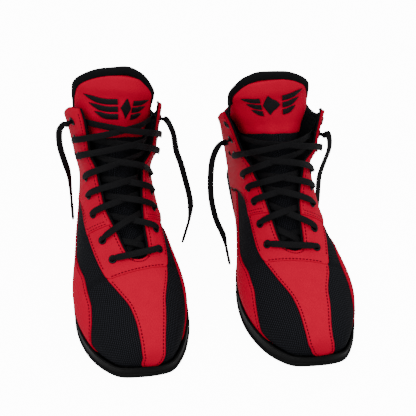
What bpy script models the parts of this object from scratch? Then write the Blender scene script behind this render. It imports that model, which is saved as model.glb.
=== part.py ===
"""A pair of laced, ankle-high boxing boots, each built up in layers like the real thing.

Blender 4.5, metres, +Z up. The functions below work in millimetres, in a boot's own frame: the toe
points to -y and the heel to +y, +x is the big-toe side, and z = 0 is the ground. Both boots are made on the
same last.

The last is one smooth surface through SECTIONS. A point on it has two pattern coordinates: the station t,
which runs from the toe tip over the instep and up the shaft, and the girth c, which is 0 on the ridge, -1 and
1 on the feather edge where upper and sole meet, and 2 in the middle of the sole. Above the heel, c = -1 and
c = 1 are the back seam. Each panel is a patch of the last between two depths, measured outwards.
"""

import math

import bmesh
import bpy
import numpy as np
from mathutils import Vector

MM = 0.001

# Sections of the last, one row a station.
# ridge y, z | sole or back y, z | x lateral, medial | height share of the widest point |
# roundness top, bottom | lean
SECTIONS = np.array([
    (-3, 13, -3, 13, 13, 13, 0.50, 2.0, 2.0, 0),
    (-1.5, 27, 0, 12, -10, 28, 0.60, 2.1, 2.6, 1),
    (4, 36, 6, 11.5, -21, 35, 0.66, 2.1, 3.2, 3),
    (16, 43.5, 18, 11, -32, 41.5, 0.70, 2.1, 3.8, 5),
    (34, 49.5, 37, 10, -41.5, 47, 0.72, 2.1, 4.2, 7),
    (55, 57, 60, 10, -48, 50.5, 0.73, 2.1, 4.2, 7),
    (77, 67, 90, 10, -49.5, 49, 0.72, 2.0, 4.0, 6),
    (97, 81, 122, 11, -46, 43, 0.68, 2.0, 3.6, 4),
    (113, 96, 160, 12.5, -42, 37, 0.62, 2.2, 3.4, 2),
    (125, 111, 205, 13, -39.5, 34.5, 0.58, 2.4, 3.8, 1),
    (134, 124, 250, 13.5, -37.5, 34, 0.58, 2.6, 4.0, 0),
    (139, 133, 273, 17, -37, 34.5, 0.60, 2.7, 3.4, 0),
    (143, 142, 285, 36, -36.5, 35, 0.60, 2.8, 2.4, 0),
    (147, 152, 286, 66, -36.5, 36, 0.55, 2.8, 2.0, 0),
    (151, 163, 281, 97, -37, 37, 0.50, 2.8, 2.0, 0),
    (155, 174, 276, 120, -38, 38, 0.46, 2.8, 2.0, 0),
    (159, 185, 273, 135, -38.5, 38.5, 0.42, 2.8, 2.0, 0),
    (163, 197, 271, 150, -39, 39, 0.40, 2.8, 2.0, 0),
    (167, 209, 270, 165, -40, 40, 0.40, 2.8, 2.0, 0),
])
HEEL = 11.25  # the station where the sole ends and the back seam starts
COLLAR = 15.0  # the top edge of the shaft
FEATHER = [(0, 15), (6, 14), (8, 16), (10, 19), (HEEL, 20.2)]  # height of the feather edge

# Rows and columns of facets, shared by every layer, so that the facets of two layers stay parallel.
ROWS = [0, 0.35, 1, 2, 3, 4, 5, 5.6, 5.95, 6.5, 7.45, 8.3, 9.2, 10.1, 10.7, 11, HEEL,
        12, 13, 14, COLLAR, 15.5, 16.4, 17.2, 17.9]
SIDE_COLUMNS = 6
SOLE_COLUMNS = [1.12, 1.5, 2]

# Depths of the layers, outwards from the last.
LINING = (-2.9, -1.7)
BASE = (-1.2, 0)
OVERLAY = (0.3, 1.5)
WALL = (1.9, 4.6)
BOARD = (-1.4, 1.4)
FOOTBED = (-5.2, -1.8)

# Outlines: station and angle from the ridge, in degrees. FAR stands for the feather edge or the back seam.
FAR = 400
THROAT = [(5.95, 0), (6.05, 8), (6.3, 13), (7.45, 20), (8.65, 29), (9.8, 39), (11.6, 46), (14, 49), (16, 51)]
EYELETS = [(6.25, 27, 26), (7.05, 34, 33), (8.05, 40, 43), (8.85, 48, 50), (9.7, 56, 56), (11.4, 58, 61),
           (12.65, 58, 61), (13.9, 56, 61)]  # station, lateral angle, medial angle
LINING_FRONT = [(5.6, 0), (5.95, 38), (6.3, 38), (7.05, 45), (8.85, 61), (9.7, 67), (11.2, 71), (16, 72)]
FACING_BACK = [(6.05, 36), (7.05, 44), (8.85, 60), (9.7, 66), (11.2, 70), (16, 71)]
STRIPE_LATERAL = [(0, FAR), (0.3, 100), (0.5, 48), (1, 20), (2, 19), (3, 18), (4.1, 21), (4.9, 28), (5.6, 36)]
STRIPE_MEDIAL = [(0, FAR), (0.35, 100), (0.6, 70), (1, 43), (2, 26), (3, 20), (4.2, 18), (5.6, 30)]
EYESTAY_LATERAL = [(5.6, 37), (6.85, 47), (7.45, 52), (8.2, 59), (8.6, 68), (9.2, 100), (9.6, FAR)]
EYESTAY_MEDIAL = [(5.6, 32), (6.85, 47), (7.45, 55), (7.8, 66), (8.3, 100), (8.7, FAR)]
SIDE_LATERAL = [(2.9, 130), (3.6, 87), (4.3, 68), (4.9, 60), (5.4, 61), (6, 71), (6.7, 83), (7.5, 87),
                (8.3, 86),
                (8.85, 85), (9.2, 104)]
SIDE_MEDIAL = [(3.3, 130), (4, 86), (5, 76), (6.3, 71), (7, 88), (7.8, 150)]
HEEL_FRONT = [(9.75, 175), (10.5, 140), (11.5, 122), (12.5, 132), (13, 162), (13.05, 167), (16, 168)]
TONGUE = [(5.3, 14), (6, 20), (6.6, 30), (8, 46), (10, 60), (12, 68), (14, 74), (15, 73), (15.8, 68),
          (16.5, 60), (17.1, 48), (17.55, 33), (17.8, 18), (17.9, 0)]
TONGUE_INNER = [(12.3, 62), (14, 67), (15, 66), (15.7, 61), (16.3, 53), (16.8, 41), (17.2, 26), (17.4, 13),
                (17.5, 0)]
SEAM = 0.04  # a gap between two panels, in stations
EDGE_GAP = 1.2  # and across, in degrees

# The tongue's outer face lies below the laces and comes forward above the collar: station and depth.
TONGUE_DEPTH = [(5.3, -3.4), (5.6, -4.2), (5.95, -8.6), (6.5, -9.4), (9, -11.3), (13, -11.2), (14, -8.8),
                (15.5, -3.8), (16.4, 1), (18, 3)]
TONGUE_FLARE = [(11, 0), (13, 4), (14.3, 8), (15.5, 7), (16.5, 3), (18, 0)]  # how far its sides spread
TONGUE_TUCK = [(50, 0), (60, 1.8), (72, 4.6)]  # and its edges tuck in: angle and depth
TONGUE_THICK = [(5.3, 2.2), (7, 3), (12.3, 4), (14.2, 6), (18, 6)]

# Sole: heights of the wall's top and of the tread under it.
WALL_TOP = [(0, 18), (5, 16), (8, 18), (10, 22), (12, 27)]
TREAD = [(0, 7), (1, 5), (2, 3), (3, 1.2), (4, 0), (12, 0)]
TREAD_FLARE = 6  # how far the tread's edge stands out past the last

BARREL = 3.7  # radius of an eyelet's barrel
BORE = 2.2
HOLE = 4.1  # in the leather round the barrel
EYELET_SIDES = 6
LACE = 1.1  # radius
LACE_OUT = 4.4  # depth of the lace where it comes out of an eyelet
LACE_IN = -5.2  # and where it goes up into one, under the facing
# Where the two strands cross: share of the way over, and the depths of the strand below and the one on top.
CROSSING = [(0.14, 5.2, 4.8), (0.36, 2, 4.6), (0.6, -3.6, 0), (0.84, -5.2, -5.2)]
FIRST_CROSSING = [(0.14, -5.4, -5.4), (0.36, -6, -3.4), (0.6, -6, -3), (0.84, -5.4, -5.2)]
AGLET = 1.5
AGLET_LENGTH = 22
TOUCH = 0.35  # gap left between parts that touch
END_GAP = 1  # and between two lengths of a cord

# at and yaw: how the boot stands. top_row: the highest eyelet row in use.
# twist: station, and degrees that the upper's pattern is turned on the foot.
# skew, tongue_skew: stations that a row rises from one side to the other.
# lateral, medial, tongue: station, and how far that wing or the tongue is bent (sideways, back, up).
# ends: the routes of the two loose lace ends, in the boot's own frame.
BOOTS = {
    "a": dict(
        at=(-79.3, -26.1), yaw=8.2, twist=[(0, 14), (5, 10), (8, 8), (10.5, 10), (14, 14)], top_row=7,
        skew=[(3, 0), (6, 0.35), (7, 0.3), (8.5, 0.05), (11, -0.1), (14, -0.35)], tongue_skew=-0.45,
        lateral=[(8, 0, 0, 0), (9.9, -5, 0, 0), (11.5, 0, 0, 0), (15, 5, 0, 0)],
        medial=[(8, 0, 0, 0), (9.9, -2, 0, 0), (11.5, 5, 0, 0), (15, 10, 0, 0)],
        tongue=[(9, 0, 0, 0), (18, 3, 0, 0)],
        ends=dict(
            lateral=[(-40, 165, 157), (-46, 166, 149), (-48, 168, 137), (-48, 168, 125), (-46, 168, 109),
                     (-44, 168, 95), (-44, 168, 80), (-45, 168, 57), (-46, 168, 35)],
            medial=[(53, 178, 133), (56, 176, 123), (58, 175, 104), (62, 173, 88), (65, 171, 72),
                    (68, 166, 56), (69, 162, 43), (66, 157, 25), (58, 149, 4)])),
    "b": dict(
        at=(72.6, -14.1), yaw=7.7, top_row=6,
        twist=[(0, -12), (2, -7), (4, -2), (5.2, -4), (6.3, -8.5), (8, -8)],
        skew=[(3, 0), (6, -0.45), (7, -0.45), (8, -0.3), (10, -0.1), (14, -0.05)], tongue_skew=0.35,
        lateral=[(5, 0, 0, 0), (8, -2, 0, 0), (9.9, -1, -4, -4), (11.5, 5, -4, -5), (15, 24, -11, -12)],
        medial=[(5, 0, 0, 0), (8, -3, 0, 0), (9.9, -3, -3, -3), (11.5, 5, -3, -4), (15, 5, -8, -10)],
        tongue=[(9, 0, 0, 0), (18, -14, -6, -6)],
        ends=dict(
            lateral=[(-55, 169, 120), (-60, 168, 112), (-63, 168, 99), (-64, 169, 80), (-64, 168, 61),
                     (-62, 168, 42), (-58, 168, 22), (-52, 163, 6), (-51, 148, 3), (-51, 125, 2.5)],
            medial=[(44, 166, 125), (47, 166, 118), (48, 166, 105), (45, 167, 88), (42, 167, 72),
                    (42, 167, 56), (43, 168, 40), (46, 176, 16), (50, 190, 3), (51, 213, 2.2)])),
}
DIP = 1.5  # how many stations the top line comes down at the sides and the back
PIVOT_Y = 120  # a boot is turned about this point of its own frame

TONGUE_PIVOT = (0, 61, 53)

RED = (0.62, 0.015, 0.035)
BLACK = (0.012, 0.012, 0.014)
DARK = (0.03, 0.03, 0.033)


def curve_at(points, t):
    stations, values = zip(*points)
    return np.interp(t, stations, values)


def second_derivatives(rows):
    """Those of the natural cubic spline through the rows."""
    count = len(rows)
    system = np.eye(count)
    target = np.zeros_like(rows)
    for i in range(1, count - 1):
        system[i, i - 1:i + 2] = (1, 4, 1)
        target[i] = 6 * (rows[i - 1] - 2 * rows[i] + rows[i + 1])
    return np.linalg.solve(system, target)


BENDING = second_derivatives(SECTIONS)


def section(t):
    i = min(max(int(t), 0), len(SECTIONS) - 2)
    b = t - i
    a = 1 - b
    straight = a * SECTIONS[i] + b * SECTIONS[i + 1]
    return straight + ((a**3 - a) * BENDING[i] + (b**3 - b) * BENDING[i + 1]) / 6


def feather_angle(t):
    """The angle from the ridge at which the feather edge runs, in degrees."""
    if t >= HEEL:
        return 180.0
    _, top, _, bottom, _, _, widest, _, roundness, _ = section(t)
    share = (top - curve_at(FEATHER, t)) / max(top - bottom, 1e-6)
    below = (share - widest) / (1 - widest)
    if below <= 0:
        return 100.0
    return max(100.0, math.degrees(math.acos(-min(below, 1.0) ** (roundness / 2))))


def eyelet(row, side):
    """Station and angle of an eyelet. Side -1 is lateral."""
    t, lateral, medial = EYELETS[row]
    return t, side * (lateral if side < 0 else medial)


def girth(t, angle):
    """The girth coordinate of an angle from the ridge."""
    edge = feather_angle(t)
    if angle <= edge:
        return angle / edge
    return 1.0


def angle_of(t, c):
    edge = feather_angle(t)
    if abs(c) <= 1:
        return c * edge
    return math.copysign(edge + (abs(c) - 1) * (180 - edge), c)


def settled(boot, t, angle):
    """Where a station lies once worn: rows have turned a little, and the top line dips towards the heel."""
    wide = abs(angle)
    turned = curve_at(boot["skew"], t) * math.sin(math.radians(angle)) * min(max((150 - wide) / 60, 0.0), 1.0)
    dip = min(max((wide - 50) / 45, 0.0), 1.0)
    return t + turned - DIP * dip * dip * (3 - 2 * dip) * min(max((t - 11) / 4, 0.0), 1.0)


def moved(table, t):
    """The three shifts of a table at a station."""
    return np.array([curve_at([(row[0], row[1 + axis]) for row in table], t) for axis in range(3)])


def last_point(boot, t, angle, splayed=True):
    """The last's surface. The pattern's twist fades out towards the sole; wings and tongue are bent."""
    turned = angle + curve_at(boot["twist"], t) * max(0.0, 1 - (angle / 100) ** 2)
    phi = math.radians(turned)
    station = settled(boot, t, angle)
    if not splayed:
        station += boot["tongue_skew"] * min(max((t - 12) / 3, 0.0), 1.3) * math.sin(math.radians(angle))
    ridge_y, ridge_z, low_y, low_z, lateral, medial, widest, top, bottom, lean = section(station)
    sine = math.sin(phi)
    cosine = math.cos(phi)
    rise = abs(cosine) ** (2 / (top if cosine > 0 else bottom))
    across = math.copysign(abs(sine) ** (2 / (top if cosine > 0 else bottom)), sine)
    x = (lateral + medial) / 2 + max((medial - lateral) / 2, 0) * across
    if cosine > 0:
        down = widest * (1 - rise)
        x += lean * cosine
    else:
        down = widest + (1 - widest) * rise
    point = np.array((x, ridge_y + (low_y - ridge_y) * down, ridge_z + (low_z - ridge_z) * down))
    front = min(max((125 - abs(angle)) / 60, 0.0), 1.0)
    front = front * front * (3 - 2 * front)
    if splayed:
        share = min(max(0.5 + angle / 60, 0.0), 1.0)
        point += front * (1 - share) * moved(boot["lateral"], t) * (-1, 1, 1)
        point += front * share * moved(boot["medial"], t)
    else:
        point[0] += curve_at(TONGUE_FLARE, t) * angle * abs(angle) / 70**2
        point += front * moved(boot["tongue"], t)
    return point


def last_normal(boot, t, angle, splayed=True):
    step = 0.02
    low = max(t - step, 0.0)
    high = min(t + step, len(SECTIONS) - 1.001)
    if t < 0.01:
        return np.array((0.0, -1.0, 0.0))
    along = last_point(boot, high, angle, splayed) - last_point(boot, low, angle, splayed)
    around = last_point(boot, t, angle + 1, splayed) - last_point(boot, t, angle - 1, splayed)
    normal = np.cross(around, along)
    return normal / np.linalg.norm(normal)


def columns():
    side = [i / SIDE_COLUMNS for i in range(SIDE_COLUMNS + 1)] + SOLE_COLUMNS
    return [-c for c in reversed(side[1:])] + side


class Last:
    """The facets that every layer of one boot shares."""

    def __init__(self, boot, splayed=True):
        self.columns = columns()
        shape = (len(ROWS), len(self.columns), 3)
        self.points = np.zeros(shape)
        self.normals = np.zeros(shape)
        for i, t in enumerate(ROWS):
            for j, c in enumerate(self.columns):
                angle = angle_of(t, c)
                self.points[i, j] = last_point(boot, t, angle, splayed)
                self.normals[i, j] = last_normal(boot, t, angle, splayed)

    def layer(self, depth):
        """The grid at a depth, which may be a number or a function of station and angle."""
        if not callable(depth):
            return self.points + depth * self.normals
        depths = np.array([[depth(t, angle_of(t, c)) for c in self.columns] for t in ROWS])
        return self.points + depths[:, :, None] * self.normals

    def cell(self, t, c):
        """The facet that holds a pattern point, as three grid corners and their weights."""
        i = min(max(np.searchsorted(ROWS, t, side="right") - 1, 0), len(ROWS) - 2)
        j = min(max(np.searchsorted(self.columns, c, side="right") - 1, 0), len(self.columns) - 2)
        u = (t - ROWS[i]) / (ROWS[i + 1] - ROWS[i])
        v = (c - self.columns[j]) / (self.columns[j + 1] - self.columns[j])
        if splits_down(self.columns, i, j):
            if u >= v:
                return ((i, j, 1 - u), (i + 1, j, u - v), (i + 1, j + 1, v))
            return ((i, j, 1 - v), (i + 1, j + 1, u), (i, j + 1, v - u))
        if u + v <= 1:
            return ((i, j, 1 - u - v), (i + 1, j, u), (i, j + 1, v))
        return ((i + 1, j + 1, u + v - 1), (i + 1, j, 1 - v), (i, j + 1, 1 - u))

    def at(self, grid, t, c):
        return sum(weight * grid[i, j] for i, j, weight in self.cell(t, c))

    def point(self, t, angle, depth):
        """A point on the facets, moved out along the smooth normal."""
        c = math.copysign(girth(t, abs(angle)), angle)
        return self.at(self.layer(depth), t, c)


def splits_down(all_columns, i, j):
    """Which way a cell is cut in two. The two sides mirror each other, and the heel's last row is turned."""
    return (all_columns[j] >= 0) != (ROWS[i + 1] == HEEL)


def clipped(polygon, window):
    """The part of a convex polygon inside a convex, counterclockwise window."""
    for (x0, y0), (x1, y1) in zip(window, window[1:] + window[:1]):
        def inside(p):
            return (x1 - x0) * (p[1] - y0) - (y1 - y0) * (p[0] - x0)
        kept = []
        for p, q in zip(polygon, polygon[1:] + polygon[:1]):
            a = inside(p)
            b = inside(q)
            if a >= -1e-12:
                kept.append(p)
            if (a > 1e-12 and b < -1e-12) or (a < -1e-12 and b > 1e-12):
                share = a / (a - b)
                kept.append((p[0] + share * (q[0] - p[0]), p[1] + share * (q[1] - p[1])))
        polygon = kept
        if len(polygon) < 3:
            return []
    return polygon


def pattern_key(t, c):
    """One key for each point of the last, whichever side of a seam it is named from."""
    if t < 1e-6:
        return (0, 0)
    if t > HEEL - 1e-6 and abs(c) > 1 - 1e-6:
        c = 1.0
    if abs(c) > 2 - 1e-6:
        c = 2.0
    return (round(t * 1e5), round(c * 1e5))


def band(start, end, left, right):
    """Trapezoids between two outlines, which are functions of the station that return a girth."""
    stations = sorted({start, end, *(t for t in ROWS if start < t < end)})
    shapes = []
    for low, high in zip(stations, stations[1:]):
        shapes.append([(low, left(low)), (high, left(high)), (high, right(high)), (low, right(low))])
    return shapes


def outline(points, side=1, gap=0.0):
    """An outline as a function of the station. Side -1 is lateral, and gap moves it outwards in degrees."""
    def girth_at(t):
        angle = max(float(curve_at(points, t)) + gap, 0.0)
        return side * girth(t, angle)
    return girth_at


def level(c):
    return lambda t: c


class Panel:
    """Collects a patch of the last and gives it thickness."""

    def __init__(self, last, shapes):
        self.last = last
        self.keys = {}
        self.pattern = []
        self.faces = []
        cells = last.columns
        for shape in shapes:
            low_t = min(p[0] for p in shape)
            high_t = max(p[0] for p in shape)
            low_c = min(p[1] for p in shape)
            high_c = max(p[1] for p in shape)
            for i in range(len(ROWS) - 1):
                if ROWS[i + 1] <= low_t + 1e-9 or ROWS[i] >= high_t - 1e-9:
                    continue
                for j in range(len(cells) - 1):
                    if cells[j + 1] <= low_c + 1e-9 or cells[j] >= high_c - 1e-9:
                        continue
                    for window in self.triangles(i, j):
                        self.add(clipped(shape, window))

    def triangles(self, i, j):
        a = (ROWS[i], self.last.columns[j])
        b = (ROWS[i + 1], self.last.columns[j])
        c = (ROWS[i + 1], self.last.columns[j + 1])
        d = (ROWS[i], self.last.columns[j + 1])
        if splits_down(self.last.columns, i, j):
            return ([a, b, c], [a, c, d])
        return ([a, b, d], [b, c, d])

    def add(self, polygon):
        corners = []
        for t, c in polygon:
            key = pattern_key(t, c)
            if key not in self.keys:
                near = [(key[0] + a, key[1] + b) for a in (-1, 0, 1) for b in (-1, 0, 1)]
                found = [self.keys[k] for k in near if k in self.keys]
                self.keys[key] = found[0] if found else len(self.pattern)
                if not found:
                    self.pattern.append((t, c))
            index = self.keys[key]
            if not corners or corners[-1] != index:
                corners.append(index)
        if len(corners) > 1 and corners[0] == corners[-1]:
            corners.pop()
        if len(set(corners)) == len(corners) >= 3:
            self.faces.append(corners)

    def solid(self, low, high):
        """The patch between two grids, closed along its border."""
        count = len(self.pattern)
        inner = [self.last.at(low, t, c) for t, c in self.pattern]
        outer = [self.last.at(high, t, c) for t, c in self.pattern]
        edges = {}
        for face in self.faces:
            for p, q in zip(face, face[1:] + face[:1]):
                edges[(p, q)] = edges.get((p, q), 0) + 1
        faces = [[i + count for i in face] for face in self.faces]
        faces += [face[::-1] for face in self.faces]
        for p, q in edges:
            if (q, p) not in edges:
                faces.append([q, q + count, p + count, p][::-1])
        return inner + outer, faces


def material(name, colour, roughness, metallic=0.0):
    made = bpy.data.materials.new(name)
    made.use_nodes = True
    shader = made.node_tree.nodes["Principled BSDF"]
    shader.inputs["Base Color"].default_value = (*colour, 1)
    shader.inputs["Roughness"].default_value = roughness
    shader.inputs["Metallic"].default_value = metallic
    return made


def add_object(name, data, parent, colour=None, roughness=0.6, metallic=0.0):
    made = bpy.data.objects.new(name, data)
    bpy.context.scene.collection.objects.link(made)
    made.parent = parent
    if parent and parent.get("pivot"):
        made.location = -Vector(parent["pivot"])
    if colour:
        data.materials.append(material(f"{name}_material", colour, roughness, metallic))
    return made


def mesh_of(name, points, faces):
    mesh = bpy.data.meshes.new(name)
    mesh.from_pydata([Vector(p) * MM for p in points], [], faces)
    bm = bmesh.new()
    bm.from_mesh(mesh)
    bmesh.ops.remove_doubles(bm, verts=bm.verts, dist=1e-6)
    bmesh.ops.triangulate(bm, faces=[f for f in bm.faces if len(f.verts) > 4])
    bmesh.ops.recalc_face_normals(bm, faces=bm.faces)
    bm.to_mesh(mesh)
    bm.free()
    return mesh


def empty(name, at, yaw, parent=None):
    made = bpy.data.objects.new(name, None)
    bpy.context.scene.collection.objects.link(made)
    made.parent = parent
    made.location = Vector(at) * MM
    made.rotation_euler.z = math.radians(yaw)
    return made


class Boot:
    def __init__(self, key):
        self.key = key
        self.spec = BOOTS[key]
        self.last = Last(self.spec)
        self.plain = Last(self.spec, splayed=False)
        yaw = math.radians(self.spec["yaw"])
        x, y = self.spec["at"]
        shift = (x + PIVOT_Y * math.sin(yaw), y - PIVOT_Y * math.cos(yaw), 0)
        self.frame = empty(f"boot_{key}_frame", shift, self.spec["yaw"])
        self.hinge = empty(f"tongue_{key}_hinge", TONGUE_PIVOT, 0, self.frame)
        self.hinge["pivot"] = [value * MM for value in TONGUE_PIVOT]

    def name(self, what):
        return f"{what}_{self.key}"

    def panel(self, what, shapes, depths, colour, roughness=0.6, last=None, parent=None):
        """A node made from a patch of the last between two depths, each a number, a function or a grid."""
        last = last or self.last
        grids = [d if isinstance(d, np.ndarray) else last.layer(d) for d in depths]
        points, faces = Panel(last, shapes).solid(*grids)
        mesh = mesh_of(self.name(what), points, faces)
        return add_object(self.name(what), mesh, parent or self.frame, colour, roughness)

    def cut(self, target, tool, operation="DIFFERENCE"):
        modifier = target.modifiers.new(operation.lower(), "BOOLEAN")
        modifier.object = tool
        modifier.operation = operation
        modifier.solver = "EXACT"

    def rods(self, what, side, rows, radius, low, high):
        """Short rods through a row of eyelets, as a hidden tool for a Boolean."""
        bm = bmesh.new()
        for row in rows:
            t, angle = eyelet(row, side)
            foot = self.last.point(t, angle, 0)
            axis = Vector(self.last.point(t, angle, 1) - foot).normalized()
            turn = axis.to_track_quat("Z", "Y").to_matrix().to_4x4()
            turn.translation = (Vector(foot) + axis * (low + high) / 2) * MM
            bmesh.ops.create_cone(bm, cap_ends=True, segments=EYELET_SIDES, radius1=radius * MM,
                                  radius2=radius * MM, depth=(high - low) * MM, matrix=turn)
        mesh = bpy.data.meshes.new(self.name(what))
        bm.to_mesh(mesh)
        bm.free()
        tool = add_object(self.name(what), mesh, self.frame)
        tool.hide_render = True
        tool.display_type = "WIRE"
        return tool


def make_sole(boot):
    last = boot.last
    outer = last.layer(WALL[1])
    for i, t in enumerate(ROWS):
        for j, c in enumerate(last.columns):
            if abs(c) > 1 and t >= 1:
                flat = last.normals[i, j] * (1, 1, 0)
                flare = TREAD_FLARE if abs(c) == SOLE_COLUMNS[0] or t in (1, 11) else 0
                outer[i, j] = last.points[i, j] + flat / max(np.linalg.norm(flat), 0.2) * flare
                outer[i, j, 2] = curve_at(TREAD, t)

    def wall(t):
        _, top, _, bottom, _, _, widest, above, below, _ = section(t)
        share = (top - curve_at(WALL_TOP, t)) / max(top - bottom, 1e-6)
        if share <= 0:
            return 0.0
        if share < widest:
            return girth(t, math.degrees(math.acos((1 - share / widest) ** (above / 2))))
        down = min((share - widest) / (1 - widest), 1.0)
        return girth(t, math.degrees(math.acos(-(down ** (below / 2)))))

    front = next(t for t in np.arange(0.1, 1, 0.01) if wall(t) > 0) - 0.01
    back = next(t for t in np.arange(HEEL, 13, 0.01) if wall(t) > 0.999)
    shapes = band(0, front, level(-2), level(2))
    shapes += band(front, HEEL, level(-2), lambda t: -wall(t)) + band(front, HEEL, wall, level(2))
    shapes += band(HEEL, back, level(-1), lambda t: -wall(t)) + band(HEEL, back, wall, level(1))
    boot.panel("outsole", shapes, (WALL[0], outer), DARK, 0.55)
    board = band(1, 11, level(-2), level(-1.12)) + band(1, 11, level(1.12), level(2))
    boot.panel("insole_board", board, BOARD, (0.5, 0.42, 0.3), 0.9)
    bed = band(1.4, 10.7, level(-2), level(-1.2)) + band(1.4, 10.7, level(1.2), level(2))
    boot.panel("footbed", bed, FOOTBED, BLACK, 0.95)


def both(start, end, inner, outer):
    """A band on each side of the ridge."""
    return band(start, end, outer(-1), inner(-1)) + band(start, end, inner(1), outer(1))


def feather(side):
    return level(side)


def make_upper(boot):
    base = band(0, LINING_FRONT[0][0], level(-1), level(1))
    base += both(LINING_FRONT[0][0], 9.4, lambda s: outline(LINING_FRONT, s), feather)
    boot.panel("vamp_mesh", base, BASE, BLACK, 0.9)
    lining = band(1, LINING_FRONT[0][0], level(-1), level(1))
    lining += both(LINING_FRONT[0][0], COLLAR, lambda s: outline(LINING_FRONT, s), feather)
    boot.panel("lining", lining, LINING, DARK, 0.95)

    stripe = band(0, 5.6 - SEAM, outline(STRIPE_LATERAL, -1), outline(STRIPE_MEDIAL))
    boot.panel("vamp_stripe", stripe, OVERLAY, RED, 0.5)
    eyestay = band(5.6, THROAT[0][0], outline(EYESTAY_LATERAL, -1), outline(EYESTAY_MEDIAL))
    eyestay += band(THROAT[0][0], 7.45, outline(EYESTAY_LATERAL, -1), outline(THROAT, -1))
    eyestay += band(THROAT[0][0], 7.45, outline(THROAT), outline(EYESTAY_MEDIAL))
    low = boot.panel("vamp_eyestay", eyestay, OVERLAY, RED, 0.5)
    for side, word, edge in ((-1, "lateral", EYESTAY_LATERAL), (1, "medial", EYESTAY_MEDIAL)):
        def back(t):
            return side * min(abs(outline(edge, side)(t)), abs(outline(HEEL_FRONT, side, -EDGE_GAP)(t)))
        ends = (back, outline(THROAT, side)) if side < 0 else (outline(THROAT, side), back)
        quarter = boot.panel(f"quarter_{word}", band(7.45 + SEAM, COLLAR, *ends), OVERLAY, RED, 0.5)
        facing_ends = (outline(FACING_BACK, side), outline(THROAT, side, EDGE_GAP))
        strip = band(6.05, COLLAR - 0.2, *facing_ends[::-side])
        facing = boot.panel(f"eyelets_{word}", strip, LINING, BLACK, 0.4)
        holes = boot.rods(f"holes_{word}", side, range(len(EYELETS)), HOLE, -4, 6)
        reach = (LINING[0] - 0.3, OVERLAY[1] + 0.9)
        barrels = boot.rods(f"barrels_{word}", side, range(len(EYELETS)), BARREL, *reach)
        bores = boot.rods(f"bores_{word}", side, range(len(EYELETS)), BORE, -8, 8)
        boot.cut(quarter, holes)
        boot.cut(low, holes)
        boot.cut(facing, barrels, "UNION")
        boot.cut(facing, bores)

    lateral = band(SIDE_LATERAL[0][0], SIDE_LATERAL[-1][0], level(-1), outline(SIDE_LATERAL, -1))
    boot.panel("side_panel_lateral", lateral, OVERLAY, RED, 0.5)
    medial = band(SIDE_MEDIAL[0][0], SIDE_MEDIAL[-1][0], outline(SIDE_MEDIAL), level(1))
    boot.panel("side_panel_medial", medial, OVERLAY, RED, 0.5)
    heel = both(HEEL_FRONT[0][0], 13, lambda s: outline(HEEL_FRONT, s), feather)
    boot.panel("heel_panel", heel, OVERLAY, RED, 0.5)
    backstay = both(13 + SEAM, COLLAR, lambda s: outline(HEEL_FRONT, s, EDGE_GAP), feather)
    boot.panel("backstay", backstay, OVERLAY, BLACK, 0.6)
    collar = both(COLLAR + SEAM, 15.5, lambda s: outline(THROAT, s, 1), feather)
    boot.panel("collar_binding", collar, (LINING[0], OVERLAY[1]), BLACK, 0.8)


def tongue_outer(lift=0.0):
    return lambda t, angle: curve_at(TONGUE_DEPTH, t) - curve_at(TONGUE_TUCK, abs(angle)) + lift


def tongue_inner(t, angle):
    return tongue_outer()(t, angle) - curve_at(TONGUE_THICK, t)


def make_tongue(boot):
    layers = (tongue_inner, tongue_outer())
    rest = dict(last=boot.plain, parent=boot.hinge)
    low = band(TONGUE[0][0], 12.3, outline(TONGUE, -1), outline(TONGUE))
    boot.panel("tongue_base", low, layers, BLACK, 0.9, **rest)
    top_edge = [(t - 2 * SEAM, angle - 2 * EDGE_GAP) for t, angle in TONGUE_INNER]
    top = band(12.3 + SEAM, 17.3, outline(top_edge, -1), outline(top_edge))
    boot.panel("tongue_top", top, layers, RED, 0.5, **rest)
    edges = [lambda s, table=table: outline(table, s) for table in (TONGUE_INNER, TONGUE)]
    rim = both(12.3 + SEAM, TONGUE_INNER[-1][0], *edges)
    rim += band(TONGUE_INNER[-1][0], TONGUE[-1][0], outline(TONGUE, -1), outline(TONGUE))
    boot.panel("tongue_binding", rim, layers, BLACK, 0.8, **rest)
    patch = band(14.5, 15.7, outline([(0, 38)], -1), outline([(0, 38)]))
    boot.panel("tongue_emblem", patch, (tongue_outer(TOUCH), tongue_outer(TOUCH + 0.8)), BLACK, 0.7, **rest)


def lace_strand(boot, side):
    """Half of the lace, from the bottom row up to the top row in use: a list of station, angle and depth.

    It comes out of each eyelet, crosses the tongue, goes under the far eyestay and up through the next one.
    The strand that starts on the medial side lies on top at each crossing.
    """
    t, angle = eyelet(0, side)
    points = [(t, angle, LACE_OUT), (t, angle, LACE_IN)]
    for row in range(boot.spec["top_row"]):
        crossing = FIRST_CROSSING if row == 0 else CROSSING
        way = side * (-1) ** row
        t, angle = eyelet(row, way)
        next_t, next_angle = eyelet(row + 1, -way)
        for share, under, over in crossing:
            depth = over if side > 0 else under
            points.append((t + (next_t - t) * share, angle + (next_angle - angle) * share, depth))
        points += [(next_t, next_angle, LACE_IN), (next_t, next_angle, LACE_OUT)]
    return points


def smooth_route(points, samples):
    """Points evenly spaced in turn along a Catmull-Rom curve through the route's own points."""
    route = [np.array(p, float) for p in points]
    route = [2 * route[0] - route[1], *route, 2 * route[-1] - route[-2]]
    made = []
    for a, b, c, d in zip(route, route[1:], route[2:], route[3:]):
        for k in range(samples):
            u = k / samples
            square = 2 * a - 5 * b + 4 * c - d
            cube = 3 * b - a - 3 * c + d
            made.append(0.5 * (2 * b + (c - a) * u + square * u**2 + cube * u**3))
    made.append(route[-2])
    return made


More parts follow.
